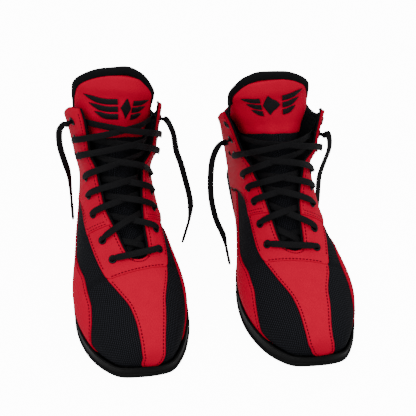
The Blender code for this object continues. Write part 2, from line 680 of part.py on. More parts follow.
def tube(boot, what, points, radius):
    curve = bpy.data.curves.new(boot.name(what), "CURVE")
    curve.dimensions = "3D"
    curve.bevel_depth = radius * MM
    curve.bevel_resolution = 2
    curve.use_fill_caps = True
    spline = curve.splines.new("POLY")
    spline.points.add(len(points) - 1)
    for spot, point in zip(spline.points, points):
        spot.co = (*(Vector(point) * MM), 1)
    return add_object(boot.name(what), curve, boot.frame, BLACK, 0.8)


def make_lace(boot):
    last = boot.last
    up = lace_strand(boot, -1)
    down = lace_strand(boot, 1)
    t, angle = eyelet(0, 1)
    bar = [(t - 0.06, -angle * 0.5, LACE_OUT + 0.3), (t - 0.06, angle * 0.5, LACE_OUT + 0.3)]
    route = up[::-1] + bar + down
    points = [last.point(t, angle, depth) for t, angle, depth in route]
    tube(boot, "lace", points, LACE)


def make_lace_end(boot, word, side):
    """A loose end hangs from the top eyelet in use, down its route, and ends in its aglet."""
    t, angle = eyelet(boot.spec["top_row"], side)
    start = [boot.last.point(t, angle, LACE_OUT + depth) for depth in (END_GAP, 3)]
    route = [np.array(p) for p in boot.spec["ends"][word]]
    line = smooth_route([*start, *route], 2)[:-2]
    tip = (route[-1] - route[-2]) / np.linalg.norm(route[-1] - route[-2])
    tube(boot, f"lace_end_{word}", line, LACE)
    bm = bmesh.new()
    middle = route[-2] + tip * (END_GAP + AGLET_LENGTH / 2)
    turn = Vector(tip).to_track_quat("Z", "Y").to_matrix().to_4x4()
    turn.translation = Vector(middle) * MM
    bmesh.ops.create_cone(bm, cap_ends=True, segments=10, radius1=AGLET * MM, radius2=AGLET * MM,
                          depth=AGLET_LENGTH * MM, matrix=turn)
    mesh = bpy.data.meshes.new(boot.name(f"aglet_{word}"))
    bm.to_mesh(mesh)
    bm.free()
    add_object(boot.name(f"aglet_{word}"), mesh, boot.frame, BLACK, 0.25)


for thing in list(bpy.data.objects):
    bpy.data.objects.remove(thing, do_unlink=True)
for key in BOOTS:
    pair_boot = Boot(key)
    make_sole(pair_boot)
    make_upper(pair_boot)
    make_tongue(pair_boot)
    make_lace(pair_boot)
    make_lace_end(pair_boot, "lateral", -1)
    make_lace_end(pair_boot, "medial", 1)
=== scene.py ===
"""The looks of a pair of laced, ankle-high boxing boots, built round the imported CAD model.

Lengths here are millimetres in a boot's own frame, as in the CAD: the toe points to -y and the heel to +y,
+x is the big-toe side and z = 0 is the ground. place() turns them into metres in the row's frame.

A point of the last has a station t, from the toe tip (0) over the instep to the collar (15) and the
tongue's top (17.9), and an angle in degrees from the ridge, positive on the big-toe side. Depth is
measured outwards.
"""

import math

import bmesh
import bpy
import numpy as np
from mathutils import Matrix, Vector


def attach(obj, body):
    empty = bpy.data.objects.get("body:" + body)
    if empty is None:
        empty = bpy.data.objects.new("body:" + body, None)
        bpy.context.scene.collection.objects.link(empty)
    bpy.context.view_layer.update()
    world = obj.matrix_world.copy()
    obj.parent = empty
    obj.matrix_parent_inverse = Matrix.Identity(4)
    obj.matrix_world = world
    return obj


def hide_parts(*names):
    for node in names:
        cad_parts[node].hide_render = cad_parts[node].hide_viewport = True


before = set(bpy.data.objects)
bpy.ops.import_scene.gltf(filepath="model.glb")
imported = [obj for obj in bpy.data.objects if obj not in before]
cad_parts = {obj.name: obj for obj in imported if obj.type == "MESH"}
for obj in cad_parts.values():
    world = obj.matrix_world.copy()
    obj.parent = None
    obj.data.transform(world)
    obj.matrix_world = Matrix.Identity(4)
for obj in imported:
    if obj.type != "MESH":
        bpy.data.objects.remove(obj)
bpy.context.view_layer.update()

MM = 0.001

# ---------------------------------------------------------------- the last and the panels' outlines

# The last, the eyelets and the routes of the laces are the CAD's. The outlines of the stripe, the eyestay, the
# medial side panel and the tongue differ a little from the CAD's, and so do the bends of the lateral wings.

# ridge y, z | sole or back y, z | x lateral, medial | height share of the widest point |
# roundness top, bottom | lean
SECTIONS = np.array([
    (-3, 13, -3, 13, 13, 13, 0.50, 2.0, 2.0, 0),
    (-1.5, 27, 0, 12, -10, 28, 0.60, 2.1, 2.6, 1),
    (4, 36, 6, 11.5, -21, 35, 0.66, 2.1, 3.2, 3),
    (16, 43.5, 18, 11, -32, 41.5, 0.70, 2.1, 3.8, 5),
    (34, 49.5, 37, 10, -41.5, 47, 0.72, 2.1, 4.2, 7),
    (55, 57, 60, 10, -48, 50.5, 0.73, 2.1, 4.2, 7),
    (77, 67, 90, 10, -49.5, 49, 0.72, 2.0, 4.0, 6),
    (97, 81, 122, 11, -46, 43, 0.68, 2.0, 3.6, 4),
    (113, 96, 160, 12.5, -42, 37, 0.62, 2.2, 3.4, 2),
    (125, 111, 205, 13, -39.5, 34.5, 0.58, 2.4, 3.8, 1),
    (134, 124, 250, 13.5, -37.5, 34, 0.58, 2.6, 4.0, 0),
    (139, 133, 273, 17, -37, 34.5, 0.60, 2.7, 3.4, 0),
    (143, 142, 285, 36, -36.5, 35, 0.60, 2.8, 2.4, 0),
    (147, 152, 286, 66, -36.5, 36, 0.55, 2.8, 2.0, 0),
    (151, 163, 281, 97, -37, 37, 0.50, 2.8, 2.0, 0),
    (155, 174, 276, 120, -38, 38, 0.46, 2.8, 2.0, 0),
    (159, 185, 273, 135, -38.5, 38.5, 0.42, 2.8, 2.0, 0),
    (163, 197, 271, 150, -39, 39, 0.40, 2.8, 2.0, 0),
    (167, 209, 270, 165, -40, 40, 0.40, 2.8, 2.0, 0),
])
HEEL = 11.25
COLLAR = 15.0
FEATHER = [(0, 15), (6, 14), (8, 16), (10, 19), (HEEL, 20.2)]

# Outlines of the panels: station and angle. FAR stands for the feather edge.
FAR = 400
SIDES = ((-1, "lateral"), (1, "medial"))
THROAT = [(5.95, 0), (6.05, 8), (6.3, 13), (7.45, 20), (8.65, 29), (9.8, 39), (11.6, 46), (14, 49), (16, 51)]
EYELETS = [(6.25, 27, 26), (7.05, 34, 33), (8.05, 40, 43), (8.85, 48, 50), (9.7, 56, 56), (11.4, 58, 61),
           (12.65, 58, 61), (13.9, 56, 61)]  # station, lateral angle, medial angle
LINING_FRONT = [(5.6, 0), (5.95, 38), (6.3, 38), (7.05, 45), (8.85, 61), (9.7, 67), (11.2, 71), (16, 72)]
FACING_BACK = [(6.05, 36), (7.05, 44), (8.85, 60), (9.7, 66), (11.2, 70), (16, 71)]
STRIPE_LATERAL = [(0, 100), (0.3, 72), (0.6, 38), (1, 22), (2, 19), (3, 18), (4.1, 21), (4.9, 28), (5.6, 36)]
STRIPE_MEDIAL = [(0, 100), (0.35, 86), (0.6, 64), (1, 43), (2, 26), (3, 20), (4.2, 18), (5.6, 30)]
EYESTAY_LATERAL = [(5.55, 30), (5.6, 34), (5.7, 37), (5.9, 39), (6.85, 47), (7.45, 52), (8.2, 59),
                   (8.6, 68), (9.2, 100), (9.6, FAR)]
EYESTAY_MEDIAL = [(5.55, 25), (5.6, 29), (5.7, 32), (5.9, 35), (6.85, 47), (7.45, 55), (7.8, 66),
                  (8.3, 100), (8.7, FAR)]
SIDE_LATERAL = [(2.9, 130), (3.6, 87), (4.3, 68), (4.9, 60), (5.4, 61), (6, 71), (6.7, 83), (7.5, 87),
                (8.3, 86), (8.85, 85), (9.2, 104)]
SIDE_MEDIAL = [(3.0, 130), (3.5, 90), (4.1, 68), (4.8, 58), (5.6, 54), (6.3, 57), (7, 69), (7.8, 96),
               (8.3, 150)]
HEEL_FRONT = [(9.75, 175), (10.5, 140), (11.5, 122), (12.5, 132), (13, 162), (13.05, 167), (16, 168)]
TONGUE = [(5.3, 14), (6, 20), (6.6, 30), (8, 46), (10, 62), (12, 72), (14, 75), (15, 70), (15.8, 62),
          (16.4, 53), (16.9, 43), (17.35, 31), (17.7, 17), (17.9, 0)]
TONGUE_INNER = [(12.3, 65), (14, 65), (15, 60), (15.7, 52), (16.2, 45), (16.65, 36), (17, 25), (17.3, 12),
                (17.4, 0)]
TONGUE_DEPTH = [(5.3, -3.4), (5.6, -4.2), (5.95, -8.6), (6.5, -9.4), (9, -11.3), (13, -11.2), (14, -8.8),
                (15.5, -3.8), (16.4, 1), (18, 3)]
TONGUE_FLARE = [(11, 0), (13, 4), (14.3, 8), (15.5, 7), (16.5, 3), (18, 0)]
TONGUE_TUCK = [(50, 0), (60, 1.8), (72, 4.6)]
TONGUE_WIDE = [(10.5, 0), (11.5, 2.8), (12.2, 4), (13.4, 4.2), (14.2, 2.6), (15, 0.6), (15.6, 0)]
TONGUE_THICK = [(5.3, 2.2), (7, 3), (12.3, 4), (14.2, 6), (18, 6)]
TONGUE_SPLIT = 12.3

SIDEWALL = [(0, 17.2), (5, 16), (8, 18), (10, 22), (12, 27)]
TREAD = [(0, 7), (1, 5), (2, 3), (3, 1.2), (4, 0), (12, 0)]

LACE_OUT = 4.4
LACE_IN = -5.2
CROSSING = [(0.14, 5.2, 4.8), (0.36, 2, 4.6), (0.6, -3.6, 0), (0.84, -5.2, -5.2)]
FIRST_CROSSING = [(0.14, -5.4, -5.4), (0.36, -6, -3.4), (0.6, -6, -3), (0.84, -5.4, -5.2)]
END_GAP = 1
AGLET_LENGTH = 22

# at and yaw: how the boot stands. top_row: the highest eyelet row in use.
# twist: station, and degrees that the upper's pattern is turned on the foot.
# skew, tongue_skew: stations that a row rises from one side to the other.
# panel_lift: stations that the lateral side panel's top is raised.
# emblem: its station, and millimetres to the side.
# throat: degrees that the lateral wing comes forward, at two heights.
# lateral, medial, tongue: station, and how far that wing or the tongue is bent (sideways, back, up).
# ends: the routes of the two loose lace ends.
BOOTS = {
    "a": dict(
        at=(-79.3, -26.1), yaw=8.2, twist=[(0, 14), (5, 10), (8, 8), (10.5, 10), (14, 14)], top_row=7,
        skew=[(3, 0), (6, 0.35), (7, 0.3), (8.5, 0.05), (11, -0.1), (14, -0.35)],
        tongue_skew=-0.45, panel_lift=0.8, emblem=(14.75, 0), throat=(9, 12),
        lateral=[(8, 0, 0, 0), (9.9, -5, 0, 0), (11.5, 0, 0, 0), (15, 5, 0, 0)],
        medial=[(8, 0, 0, 0), (9.9, -2, 0, 0), (11.5, 5, 0, 0), (15, 10, 0, 0)],
        tongue=[(9, 0, 0, 0), (18, 3, 0, 0)],
        ends=dict(
            lateral=[(-40, 165, 157), (-46, 166, 149), (-48, 168, 137), (-48, 168, 125), (-46, 168, 109),
                     (-44, 168, 95), (-44, 168, 80), (-45, 168, 57), (-46, 168, 35)],
            medial=[(53, 178, 133), (56, 176, 123), (58, 175, 104), (62, 173, 88), (65, 171, 72),
                    (68, 166, 56), (69, 162, 43), (66, 157, 25), (58, 149, 4)])),
    "b": dict(
        at=(72.6, -14.1), yaw=7.7, top_row=6,
        twist=[(0, -12), (2, -7), (4, -2), (5.2, -4), (6.3, -8.5), (8, -8)],
        skew=[(3, 0), (6, -0.45), (7, -0.45), (8, -0.3), (10, -0.1), (14, -0.05)],
        tongue_skew=0.35, panel_lift=0, emblem=(15.1, 4), throat=(0, 0),
        lateral=[(5, 0, 0, 0), (8, -2, 0, 0), (9.9, -1, -4, -4), (11.5, 5, -4, -5), (15, 19, -9, -6)],
        medial=[(5, 0, 0, 0), (8, -3, 0, 0), (9.9, -3, -3, -3), (11.5, 5, -3, -4), (15, 5, -8, -10)],
        tongue=[(9, 0, 0, 0), (18, -14, -6, -6)],
        ends=dict(
            lateral=[(-55, 169, 120), (-60, 168, 112), (-63, 168, 99), (-64, 169, 80), (-64, 168, 61),
                     (-62, 168, 42), (-58, 168, 22), (-52, 163, 6), (-51, 148, 3), (-51, 125, 2.5)],
            medial=[(44, 166, 125), (47, 166, 118), (48, 166, 105), (45, 167, 88), (42, 167, 72),
                    (42, 167, 56), (43, 168, 40), (46, 176, 16), (50, 190, 3), (51, 213, 2.2)])),
}
PIVOT_Y = 120
DIP = 1.5  # how many stations the top line comes down at the sides and the back


def second_derivatives(rows):
    """Those of the natural cubic spline through the rows."""
    count = len(rows)
    system = np.eye(count)
    target = np.zeros_like(rows)
    for i in range(1, count - 1):
        system[i, i - 1:i + 2] = (1, 4, 1)
        target[i] = 6 * (rows[i - 1] - 2 * rows[i] + rows[i + 1])
    return np.linalg.solve(system, target)


BENDING = second_derivatives(SECTIONS)


def section(t):
    """The ten values of the section at each station of an array."""
    t = np.maximum(t, 0)
    i = np.minimum(t.astype(int), len(SECTIONS) - 2)
    b = (t - i)[..., None]
    a = 1 - b
    bent = (a**3 - a) * BENDING[i] + (b**3 - b) * BENDING[i + 1]
    return a * SECTIONS[i] + b * SECTIONS[i + 1] + bent / 6


def ramp(share):
    """A soft step: 0 below 0, 1 above 1, and smooth between."""
    share = np.clip(share, 0, 1)
    return share * share * (3 - 2 * share)


def along(points, t):
    """Straight lines through the points, read at an array of stations."""
    stations, values = zip(*points)
    return np.interp(t, stations, values)


def smooth(points, t):
    """A smooth curve through the points that never overshoots them."""
    x, y = (np.array(values, float) for values in zip(*points))
    rise = np.diff(y) / np.diff(x)
    slope = np.concatenate([[rise[0]], np.zeros(len(x) - 2), [rise[-1]]])
    for k in range(1, len(x) - 1):
        if rise[k - 1] * rise[k] > 0:
            slope[k] = 2 * rise[k - 1] * rise[k] / (rise[k - 1] + rise[k])
    t = np.clip(t, x[0], x[-1])
    k = np.clip(np.searchsorted(x, t, side="right") - 1, 0, len(x) - 2)
    h = x[k + 1] - x[k]
    u = (t - x[k]) / h
    return (y[k] * (1 + 2 * u) * (1 - u)**2 + y[k + 1] * u * u * (3 - 2 * u)
            + h * slope[k] * u * (1 - u)**2 + h * slope[k + 1] * u * u * (u - 1))


def angle_at_height(t, height):
    """The angle from the ridge at which the last's side has a height."""
    s = section(t)
    share = (s[..., 1] - height) / np.maximum(s[..., 1] - s[..., 3], 1e-6)
    widest = s[..., 6]
    above = np.clip(1 - share / widest, 0, 1) ** (s[..., 7] / 2)
    below = np.clip((share - widest) / (1 - widest), 0, 1) ** (s[..., 8] / 2)
    return np.degrees(np.arccos(np.where(share < widest, above, -below)))


def feather_angle(t):
    return np.where(t >= HEEL, 180.0, np.maximum(100.0, angle_at_height(t, along(FEATHER, t))))


def settled(boot, t, angle):
    """Where a station lies once worn: rows have turned a little, and the top line dips towards the heel."""
    wide = np.abs(angle)
    turned = smooth(boot["skew"], t) * np.sin(np.radians(angle)) * np.clip((150 - wide) / 60, 0, 1)
    return t + turned - DIP * ramp((wide - 50) / 45) * np.clip((t - 11) / 4, 0, 1)


def bend(table, axis, t):
    """How far a table of station and bend moves a station along one axis."""
    return smooth([(row[0], row[1 + axis]) for row in table], t)


def last_points(boot, t, angle, splayed=True):
    """Points of the last, with the wings bent when splayed, or else with the tongue's own bend."""
    t, angle = np.broadcast_arrays(np.asarray(t, float), np.asarray(angle, float))
    phi = np.radians(angle + smooth(boot["twist"], t) * np.maximum(0, 1 - (angle / 100)**2))
    worn = settled(boot, t, angle)
    if not splayed:
        worn = worn + boot["tongue_skew"] * np.clip((t - 12) / 3, 0, 1.3) * np.sin(np.radians(angle))
    values = np.moveaxis(section(worn), -1, 0)
    ridge_y, ridge_z, low_y, low_z, lateral, medial, widest, top, bottom, lean = values
    sine, cosine = np.sin(phi), np.cos(phi)
    upper = cosine > 0
    power = 2 / np.where(upper, top, bottom)
    rise = np.abs(cosine)**power
    half = np.maximum((medial - lateral) / 2, 0)
    x = (lateral + medial) / 2 + half * np.copysign(np.abs(sine)**power, sine)
    x = x + np.where(upper, lean * cosine, 0)
    down = np.where(upper, widest * (1 - rise), widest + (1 - widest) * rise)
    points = np.stack([x, ridge_y + (low_y - ridge_y) * down, ridge_z + (low_z - ridge_z) * down], -1)
    front = ramp((125 - np.abs(angle)) / 60)
    if splayed:
        medial_share = np.clip(0.5 + angle / 60, 0, 1)
        for word, way, share in (("lateral", -1, 1 - medial_share), ("medial", 1, medial_share)):
            for axis, sign in enumerate((way, 1, 1)):
                points[..., axis] += sign * share * front * bend(boot[word], axis, t)
    else:
        points[..., 0] += smooth(TONGUE_FLARE, t) * angle * np.abs(angle) / 70**2
        for axis in range(3):
            points[..., axis] += front * bend(boot["tongue"], axis, t)
    return points


def last_normals(boot, t, angle, splayed=True):
    t, angle = np.broadcast_arrays(np.asarray(t, float), np.asarray(angle, float))
    step = 0.02
    up = last_points(boot, np.minimum(t + step, len(SECTIONS) - 1.001), angle, splayed)
    run = up - last_points(boot, np.maximum(t - step, 0), angle, splayed)
    around = last_points(boot, t, angle + 1, splayed) - last_points(boot, t, angle - 1, splayed)
    normal = np.cross(around, run)
    normal[t < 0.01] = (0, -1, 0)
    return normal / np.linalg.norm(normal, axis=-1, keepdims=True)


def surface(boot, t, angle, depth, splayed=True):
    depth = np.asarray(depth, float)
    return last_points(boot, t, angle, splayed) + last_normals(boot, t, angle, splayed) * depth[..., None]


def tongue_depth(t, angle):
    wide = along(TONGUE_WIDE, t) * np.clip((np.abs(angle) - 15) / 40, 0, 1)
    return smooth(TONGUE_DEPTH, t) - along(TONGUE_TUCK, np.abs(angle)) + wide


def place(boot, points):
    """Millimetres in a boot's frame to metres in the row's frame."""
    points = np.asarray(points, float)
    yaw = math.radians(boot["yaw"])
    x = points[..., 0]
    y = points[..., 1] - PIVOT_Y
    moved = np.stack([boot["at"][0] + x * math.cos(yaw) - y * math.sin(yaw),
                      boot["at"][1] + x * math.sin(yaw) + y * math.cos(yaw), points[..., 2]], -1)
    return moved * MM


# ---------------------------------------------------------------- materials


class Shading:
    """A material's node tree, with short ways to add nodes. Coordinates are millimetres on the cloth."""

    def __init__(self, name, roughness, metallic=0.0, shine=0.1):
        self.material = bpy.data.materials.new(name)
        self.material.use_nodes = True
        self.tree = self.material.node_tree
        self.shader = self.tree.nodes["Principled BSDF"]
        self.shader.inputs["Roughness"].default_value = roughness
        self.shader.inputs["Metallic"].default_value = metallic
        self.shader.inputs["Specular IOR Level"].default_value = shine
        self.uv = self.add("ShaderNodeUVMap").outputs["UV"]

    def add(self, kind, settings=None, **inputs):
        node = self.tree.nodes.new(kind)
        for key, value in (settings or {}).items():
            setattr(node, key, value)
        for key, value in inputs.items():
            socket = node.inputs[int(key[1:])] if key[0] == "_" else node.inputs[key]
            if isinstance(value, bpy.types.NodeSocket):
                self.tree.links.new(value, socket)
            else:
                socket.default_value = value
        return node

    def math(self, operation, a, b=0.0):
        return self.add("ShaderNodeMath", {"operation": operation}, _0=a, _1=b).outputs[0]

    def noise(self, scale, detail=3.0, vector=None):
        made = self.add("ShaderNodeTexNoise", None, Vector=vector or self.uv, Scale=scale, Detail=detail)
        return made.outputs["Fac"]

    def wave(self, coordinate, period, phase=0.0):
        """A cosine from 0 to 1 along a coordinate."""
        turned = self.math("MULTIPLY", coordinate, 2 * math.pi / period)
        cosine = self.math("COSINE", self.math("ADD", turned, phase))
        return self.math("MULTIPLY", self.math("ADD", cosine, 1.0), 0.5)

    def spread(self, value, low, high):
        return self.add("ShaderNodeMapRange", None, Value=value, _3=low, _4=high).outputs[0]

    def blend(self, share, first, second):
        mix = self.add("ShaderNodeMix", {"data_type": "RGBA"}, _0=share)
        for socket, colour in ((mix.inputs[6], first), (mix.inputs[7], second)):
            if isinstance(colour, bpy.types.NodeSocket):
                self.tree.links.new(colour, socket)
            else:
                socket.default_value = (*colour, 1)
        return mix.outputs[2]

    def colour(self, socket):
        self.tree.links.new(socket, self.shader.inputs["Base Color"])

    def roughness(self, socket):
        self.tree.links.new(socket, self.shader.inputs["Roughness"])

    def bump(self, height, distance, strength=1.0, below=None):
        """Height from 0 to 1 stands for distance millimetres."""
        inputs = dict(Height=height, Distance=distance * MM, Strength=strength)
        if below:
            inputs["Normal"] = below
        made = self.add("ShaderNodeBump", None, **inputs).outputs["Normal"]
        self.tree.links.new(made, self.shader.inputs["Normal"])
        return made


RED = (0.43, 0.0002, 0.022)
DEEP_RED = (0.28, 0.0002, 0.013)


def leather(name, main, deep):
    s = Shading(name, 0.5, 0.0, 0.02)
    tone = s.noise(0.09, 4)
    cells = s.add("ShaderNodeTexVoronoi", None, Vector=s.uv, Scale=1.1).outputs["Distance"]
    pores = s.noise(2.4, 3)
    body = s.blend(s.spread(tone, 0.0, 0.45), main, deep)
    edge = s.add("ShaderNodeAttribute", {"attribute_name": "edge"}).outputs["Fac"]
    worn = s.add("ShaderNodeMapRange", None, Value=edge, _1=0.1, _2=1.4, _3=0.8, _4=0.0).outputs[0]
    s.colour(s.blend(worn, body, deep))
    s.roughness(s.spread(s.math("ADD", s.math("MULTIPLY", cells, 0.5), pores), 0.42, 0.62))
    first = s.bump(pores, 0.05, 0.6)
    second = s.bump(cells, 0.14, 0.5, first)
    s.bump(tone, 0.8, 0.25, second)
    return s.material


def split_uv(s):
    made = s.add("ShaderNodeSeparateXYZ", None, Vector=s.uv)
    return made.outputs["X"], made.outputs["Y"]


def air_mesh(name, pitch, rib, thread):
    """Knitted mesh: rows of small holes between lengthwise ribs, with a painted highlight on the threads."""
    s = Shading(name, 0.8, 0.0, 0.05)
    u, v = split_uv(s)
    wobble = s.math("MULTIPLY", s.noise(0.25, 2), 0.7)
    across = s.wave(s.math("ADD", v, wobble), rib)
    length = s.wave(u, pitch)
    shifted = s.wave(u, pitch, math.pi)
    odd = s.wave(v, rib * 2)
    rows = s.math("ADD", s.math("MULTIPLY", length, odd),
                  s.math("MULTIPLY", shifted, s.math("SUBTRACT", 1.0, odd)))
    knit = s.math("ADD", s.math("MULTIPLY", across, 0.5), s.math("MULTIPLY", rows, 0.5))
    fuzz = s.noise(4.0, 2)
    # Where the knit is raised its colour goes towards the thread colour: a painted highlight on the threads,
    # varied at random by the fuzz.
    painted_highlight = s.math("POWER", knit, 2.2)
    s.colour(s.blend(s.math("MULTIPLY", painted_highlight, s.spread(fuzz, 0.6, 1.3)), (0.0004, 0.0004, 0.0005), thread))
    s.bump(s.math("ADD", knit, s.math("MULTIPLY", fuzz, 0.2)), 0.5, 0.9)
    return s.material


def woven(name, main, thread, pitch):
    """Plain close-woven tape or lining."""
    s = Shading(name, 0.75, 0.0, 0.06)
    u, v = split_uv(s)
    weave = s.math("MULTIPLY", s.wave(u, pitch), s.wave(v, pitch))
    soft = s.noise(0.3, 3)
    # Where the weave is raised its colour goes towards the thread colour: a painted highlight on the threads,
    # varied at random by the soft noise.
    s.colour(s.blend(s.math("MULTIPLY", weave, s.spread(soft, 0.7, 1.0)), main, thread))
    s.bump(s.math("ADD", weave, s.math("MULTIPLY", soft, 0.4)), 0.25, 0.8)
    return s.material


def braid(name):
    """A flat lace's herringbone braid."""
    s = Shading(name, 0.62, 0.0, 0.08)
    u, v = split_uv(s)
    folded = s.math("ABSOLUTE", v)
    rib = s.wave(s.math("ADD", u, folded), 1.5)
    edge = s.wave(v, 1.1)
    knit = s.math("ADD", s.math("MULTIPLY", rib, 0.6), s.math("MULTIPLY", edge, 0.4))
    # The braid's raised ribs and edges are painted lighter: a painted highlight.
    s.colour(s.blend(knit, (0.00075, 0.00075, 0.0009), (0.00525, 0.00525, 0.00638)))
    s.bump(knit, 0.35, 0.9)
    return s.material


def rubber(name):
    s = Shading(name, 0.48, 0.0, 0.06)
    grain = s.noise(1.6, 5)
    scuff = s.noise(0.06, 4)
    s.colour(s.blend(s.spread(scuff, 0.0, 1.0), (0.001, 0.001, 0.0011), (0.003, 0.003, 0.0033)))
    s.roughness(s.spread(scuff, 0.36, 0.6))
    s.bump(grain, 0.12, 0.5)
    return s.material


def plain(name, main, other, roughness, metallic=0.0, grain=1.0):
    s = Shading(name, roughness, metallic)
    cloud = s.noise(grain, 4)
    s.colour(s.blend(cloud, main, other))
    s.roughness(s.spread(cloud, roughness - 0.08, roughness + 0.12))
    s.bump(cloud, 0.06, 0.4)
    return s.material


def thread(name, main, other):
    """Satin-stitch thread: fine parallel strands across the piece, each painted lighter along its crest as a
    painted sheen.
    """
    s = Shading(name, 0.5, 0.0, 0.12)
    u, v = split_uv(s)
    strand = s.wave(s.math("ADD", u, s.math("MULTIPLY", v, 0.25)), 0.55)
    # other is the colour of the painted sheen on each strand's crest.
    s.colour(s.blend(strand, main, other))
    s.bump(strand, 0.18, 0.9)
    return s.material


MATERIALS = {
    "red_leather": leather("red_leather", RED, DEEP_RED),
    "black_leather": leather("black_leather", (0.004, 0.004, 0.005), (0.002, 0.002, 0.0025)),
    # The last colour given to each air_mesh, woven and thread material below is a painted highlight or sheen
    # on its raised threads.
    "air_mesh": air_mesh("air_mesh", 2.0, 1.8, (0.02, 0.021, 0.027)),
    "tongue_mesh": air_mesh("tongue_mesh", 1.6, 2.2, (0.018, 0.019, 0.025)),
    "lining_fabric": woven("lining_fabric", (0.002, 0.002, 0.0025), (0.008, 0.008, 0.01), 0.9),
    "black_binding": woven("black_binding", (0.0015, 0.0015, 0.002), (0.006, 0.006, 0.0075), 0.8),
    "footbed_foam": woven("footbed_foam", (0.004, 0.004, 0.005), (0.016, 0.016, 0.018), 1.3),
    "insole_board": plain("insole_board", (0.006, 0.0055, 0.005), (0.014, 0.013, 0.012), 0.85),
    "rubber_sole": rubber("rubber_sole"),
    "eyelet_black": plain("eyelet_black", (0.003, 0.003, 0.0035), (0.008, 0.008, 0.009), 0.3, 0.2),
    "emblem_thread": thread("emblem_thread", (0.001, 0.001, 0.0012), (0.007, 0.007, 0.0085)),
    "lace_black": braid("lace_black"),
    "aglet_plastic": plain("aglet_plastic", (0.002, 0.002, 0.0022), (0.004, 0.004, 0.0045), 0.25),
    "red_thread": thread("red_thread", (0.055, 0.0002, 0.002), (0.11, 0.0004, 0.004)),
    "black_thread": thread("black_thread", (0.001, 0.001, 0.0012), (0.008, 0.008, 0.009)),
}

# ---------------------------------------------------------------- mesh tools


def piece(name, points, faces, material, uv=None, edge=None, flat_over=50):
    """An object from points in metres. uv is in millimetres and edge is the distance to the piece's rim."""
    mesh = bpy.data.meshes.new(name)
    mesh.from_pydata(np.asarray(points).tolist(), [], [list(map(int, face)) for face in faces])
    corner = np.zeros(len(mesh.loops), np.int32)
    mesh.loops.foreach_get("vertex_index", corner)
    if uv is None:
        uv = np.asarray(points)[:, :2] / MM
    layer = mesh.uv_layers.new(name="UVMap")
    layer.data.foreach_set("uv", np.asarray(uv, np.float32)[corner].ravel())
    if edge is not None:
        values = mesh.attributes.new("edge", "FLOAT", "POINT").data
        values.foreach_set("value", np.asarray(edge, np.float32))
    bm = bmesh.new()
    bm.from_mesh(mesh)
    bmesh.ops.remove_doubles(bm, verts=bm.verts, dist=2e-6)
    bmesh.ops.dissolve_degenerate(bm, edges=bm.edges, dist=1e-7)
    bmesh.ops.recalc_face_normals(bm, faces=bm.faces)
    bm.to_mesh(mesh)
    bm.free()
    mesh.shade_smooth()
    mesh.set_sharp_from_angle(angle=math.radians(flat_over))
    mesh.materials.append(MATERIALS[material])
    made = bpy.data.objects.new(name, mesh)
    bpy.context.scene.collection.objects.link(made)
    return made


def finish_piece(made, boot, body, replaced=()):
    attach(made, f"{body}_{boot['key']}")
    if replaced:
        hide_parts(*[f"{node}_{boot['key']}" for node in replaced])
    return made


def quads(rows, columns, first=0):
    """Faces of a grid of points, row by row."""
    i = first + np.arange(rows - 1)[:, None] * columns + np.arange(columns - 1)[None, :]
    return np.stack([i, i + columns, i + columns + 1, i + 1], -1).reshape(-1, 4)


def tube_faces(rings, size, around=True, joined=False):
    """Faces between rings of points. around closes each ring, and joined ties the last ring to the first."""
    k = np.arange(rings if joined else rings - 1)[:, None]
    j = np.arange(size if around else size - 1)[None, :]
    beside = (j + 1) % size
    after = (k + 1) % rings
    corners = (k * size + j, k * size + beside, after * size + beside, after * size + j)
    return np.stack(corners, -1).reshape(-1, 4)


def closed(outer, inner, kept):
    """Two grids of the same shape as one closed shell. kept says which quads of the grid are there."""
    rows, columns = outer.shape[:2]
    count = rows * columns
    top = quads(rows, columns)[kept.ravel()]
    starts = np.concatenate([top[:, k] for k in range(4)])
    ends = np.concatenate([top[:, (k + 1) % 4] for k in range(4)])
    border = ~np.isin(starts * count + ends, ends * count + starts)
    walls = np.stack([ends, starts, starts + count, ends + count], -1)[border]
    points = np.concatenate([outer.reshape(-1, 3), inner.reshape(-1, 3)])
    return points, np.concatenate([top, top[:, ::-1] + count, walls])


RIM = np.array([0, 0.3, 0.8, 1.6])  # columns close to an edge, for its rounding, in millimetres


def graded(lengths, step):
    """Positions from 0 to each length: close together at both ends, and then about a step apart."""
    lengths = np.atleast_1d(lengths)
    middle = max(int(math.ceil(lengths.max() / step)), 2)
    rim = RIM[None, :] * np.minimum(1, lengths / 6)[:, None]
    inner = lengths[:, None] - 2 * rim[:, -1:]
    between = rim[:, -1:] + inner * (np.arange(1, middle) / middle)[None, :]
    return np.concatenate([rim, between, (lengths[:, None] - rim)[:, ::-1]], 1)


def lengths_of(points):
    steps = np.linalg.norm(np.diff(points, axis=0), axis=-1)
    return np.concatenate([np.zeros((1, *steps.shape[1:])), np.cumsum(steps, axis=0)])


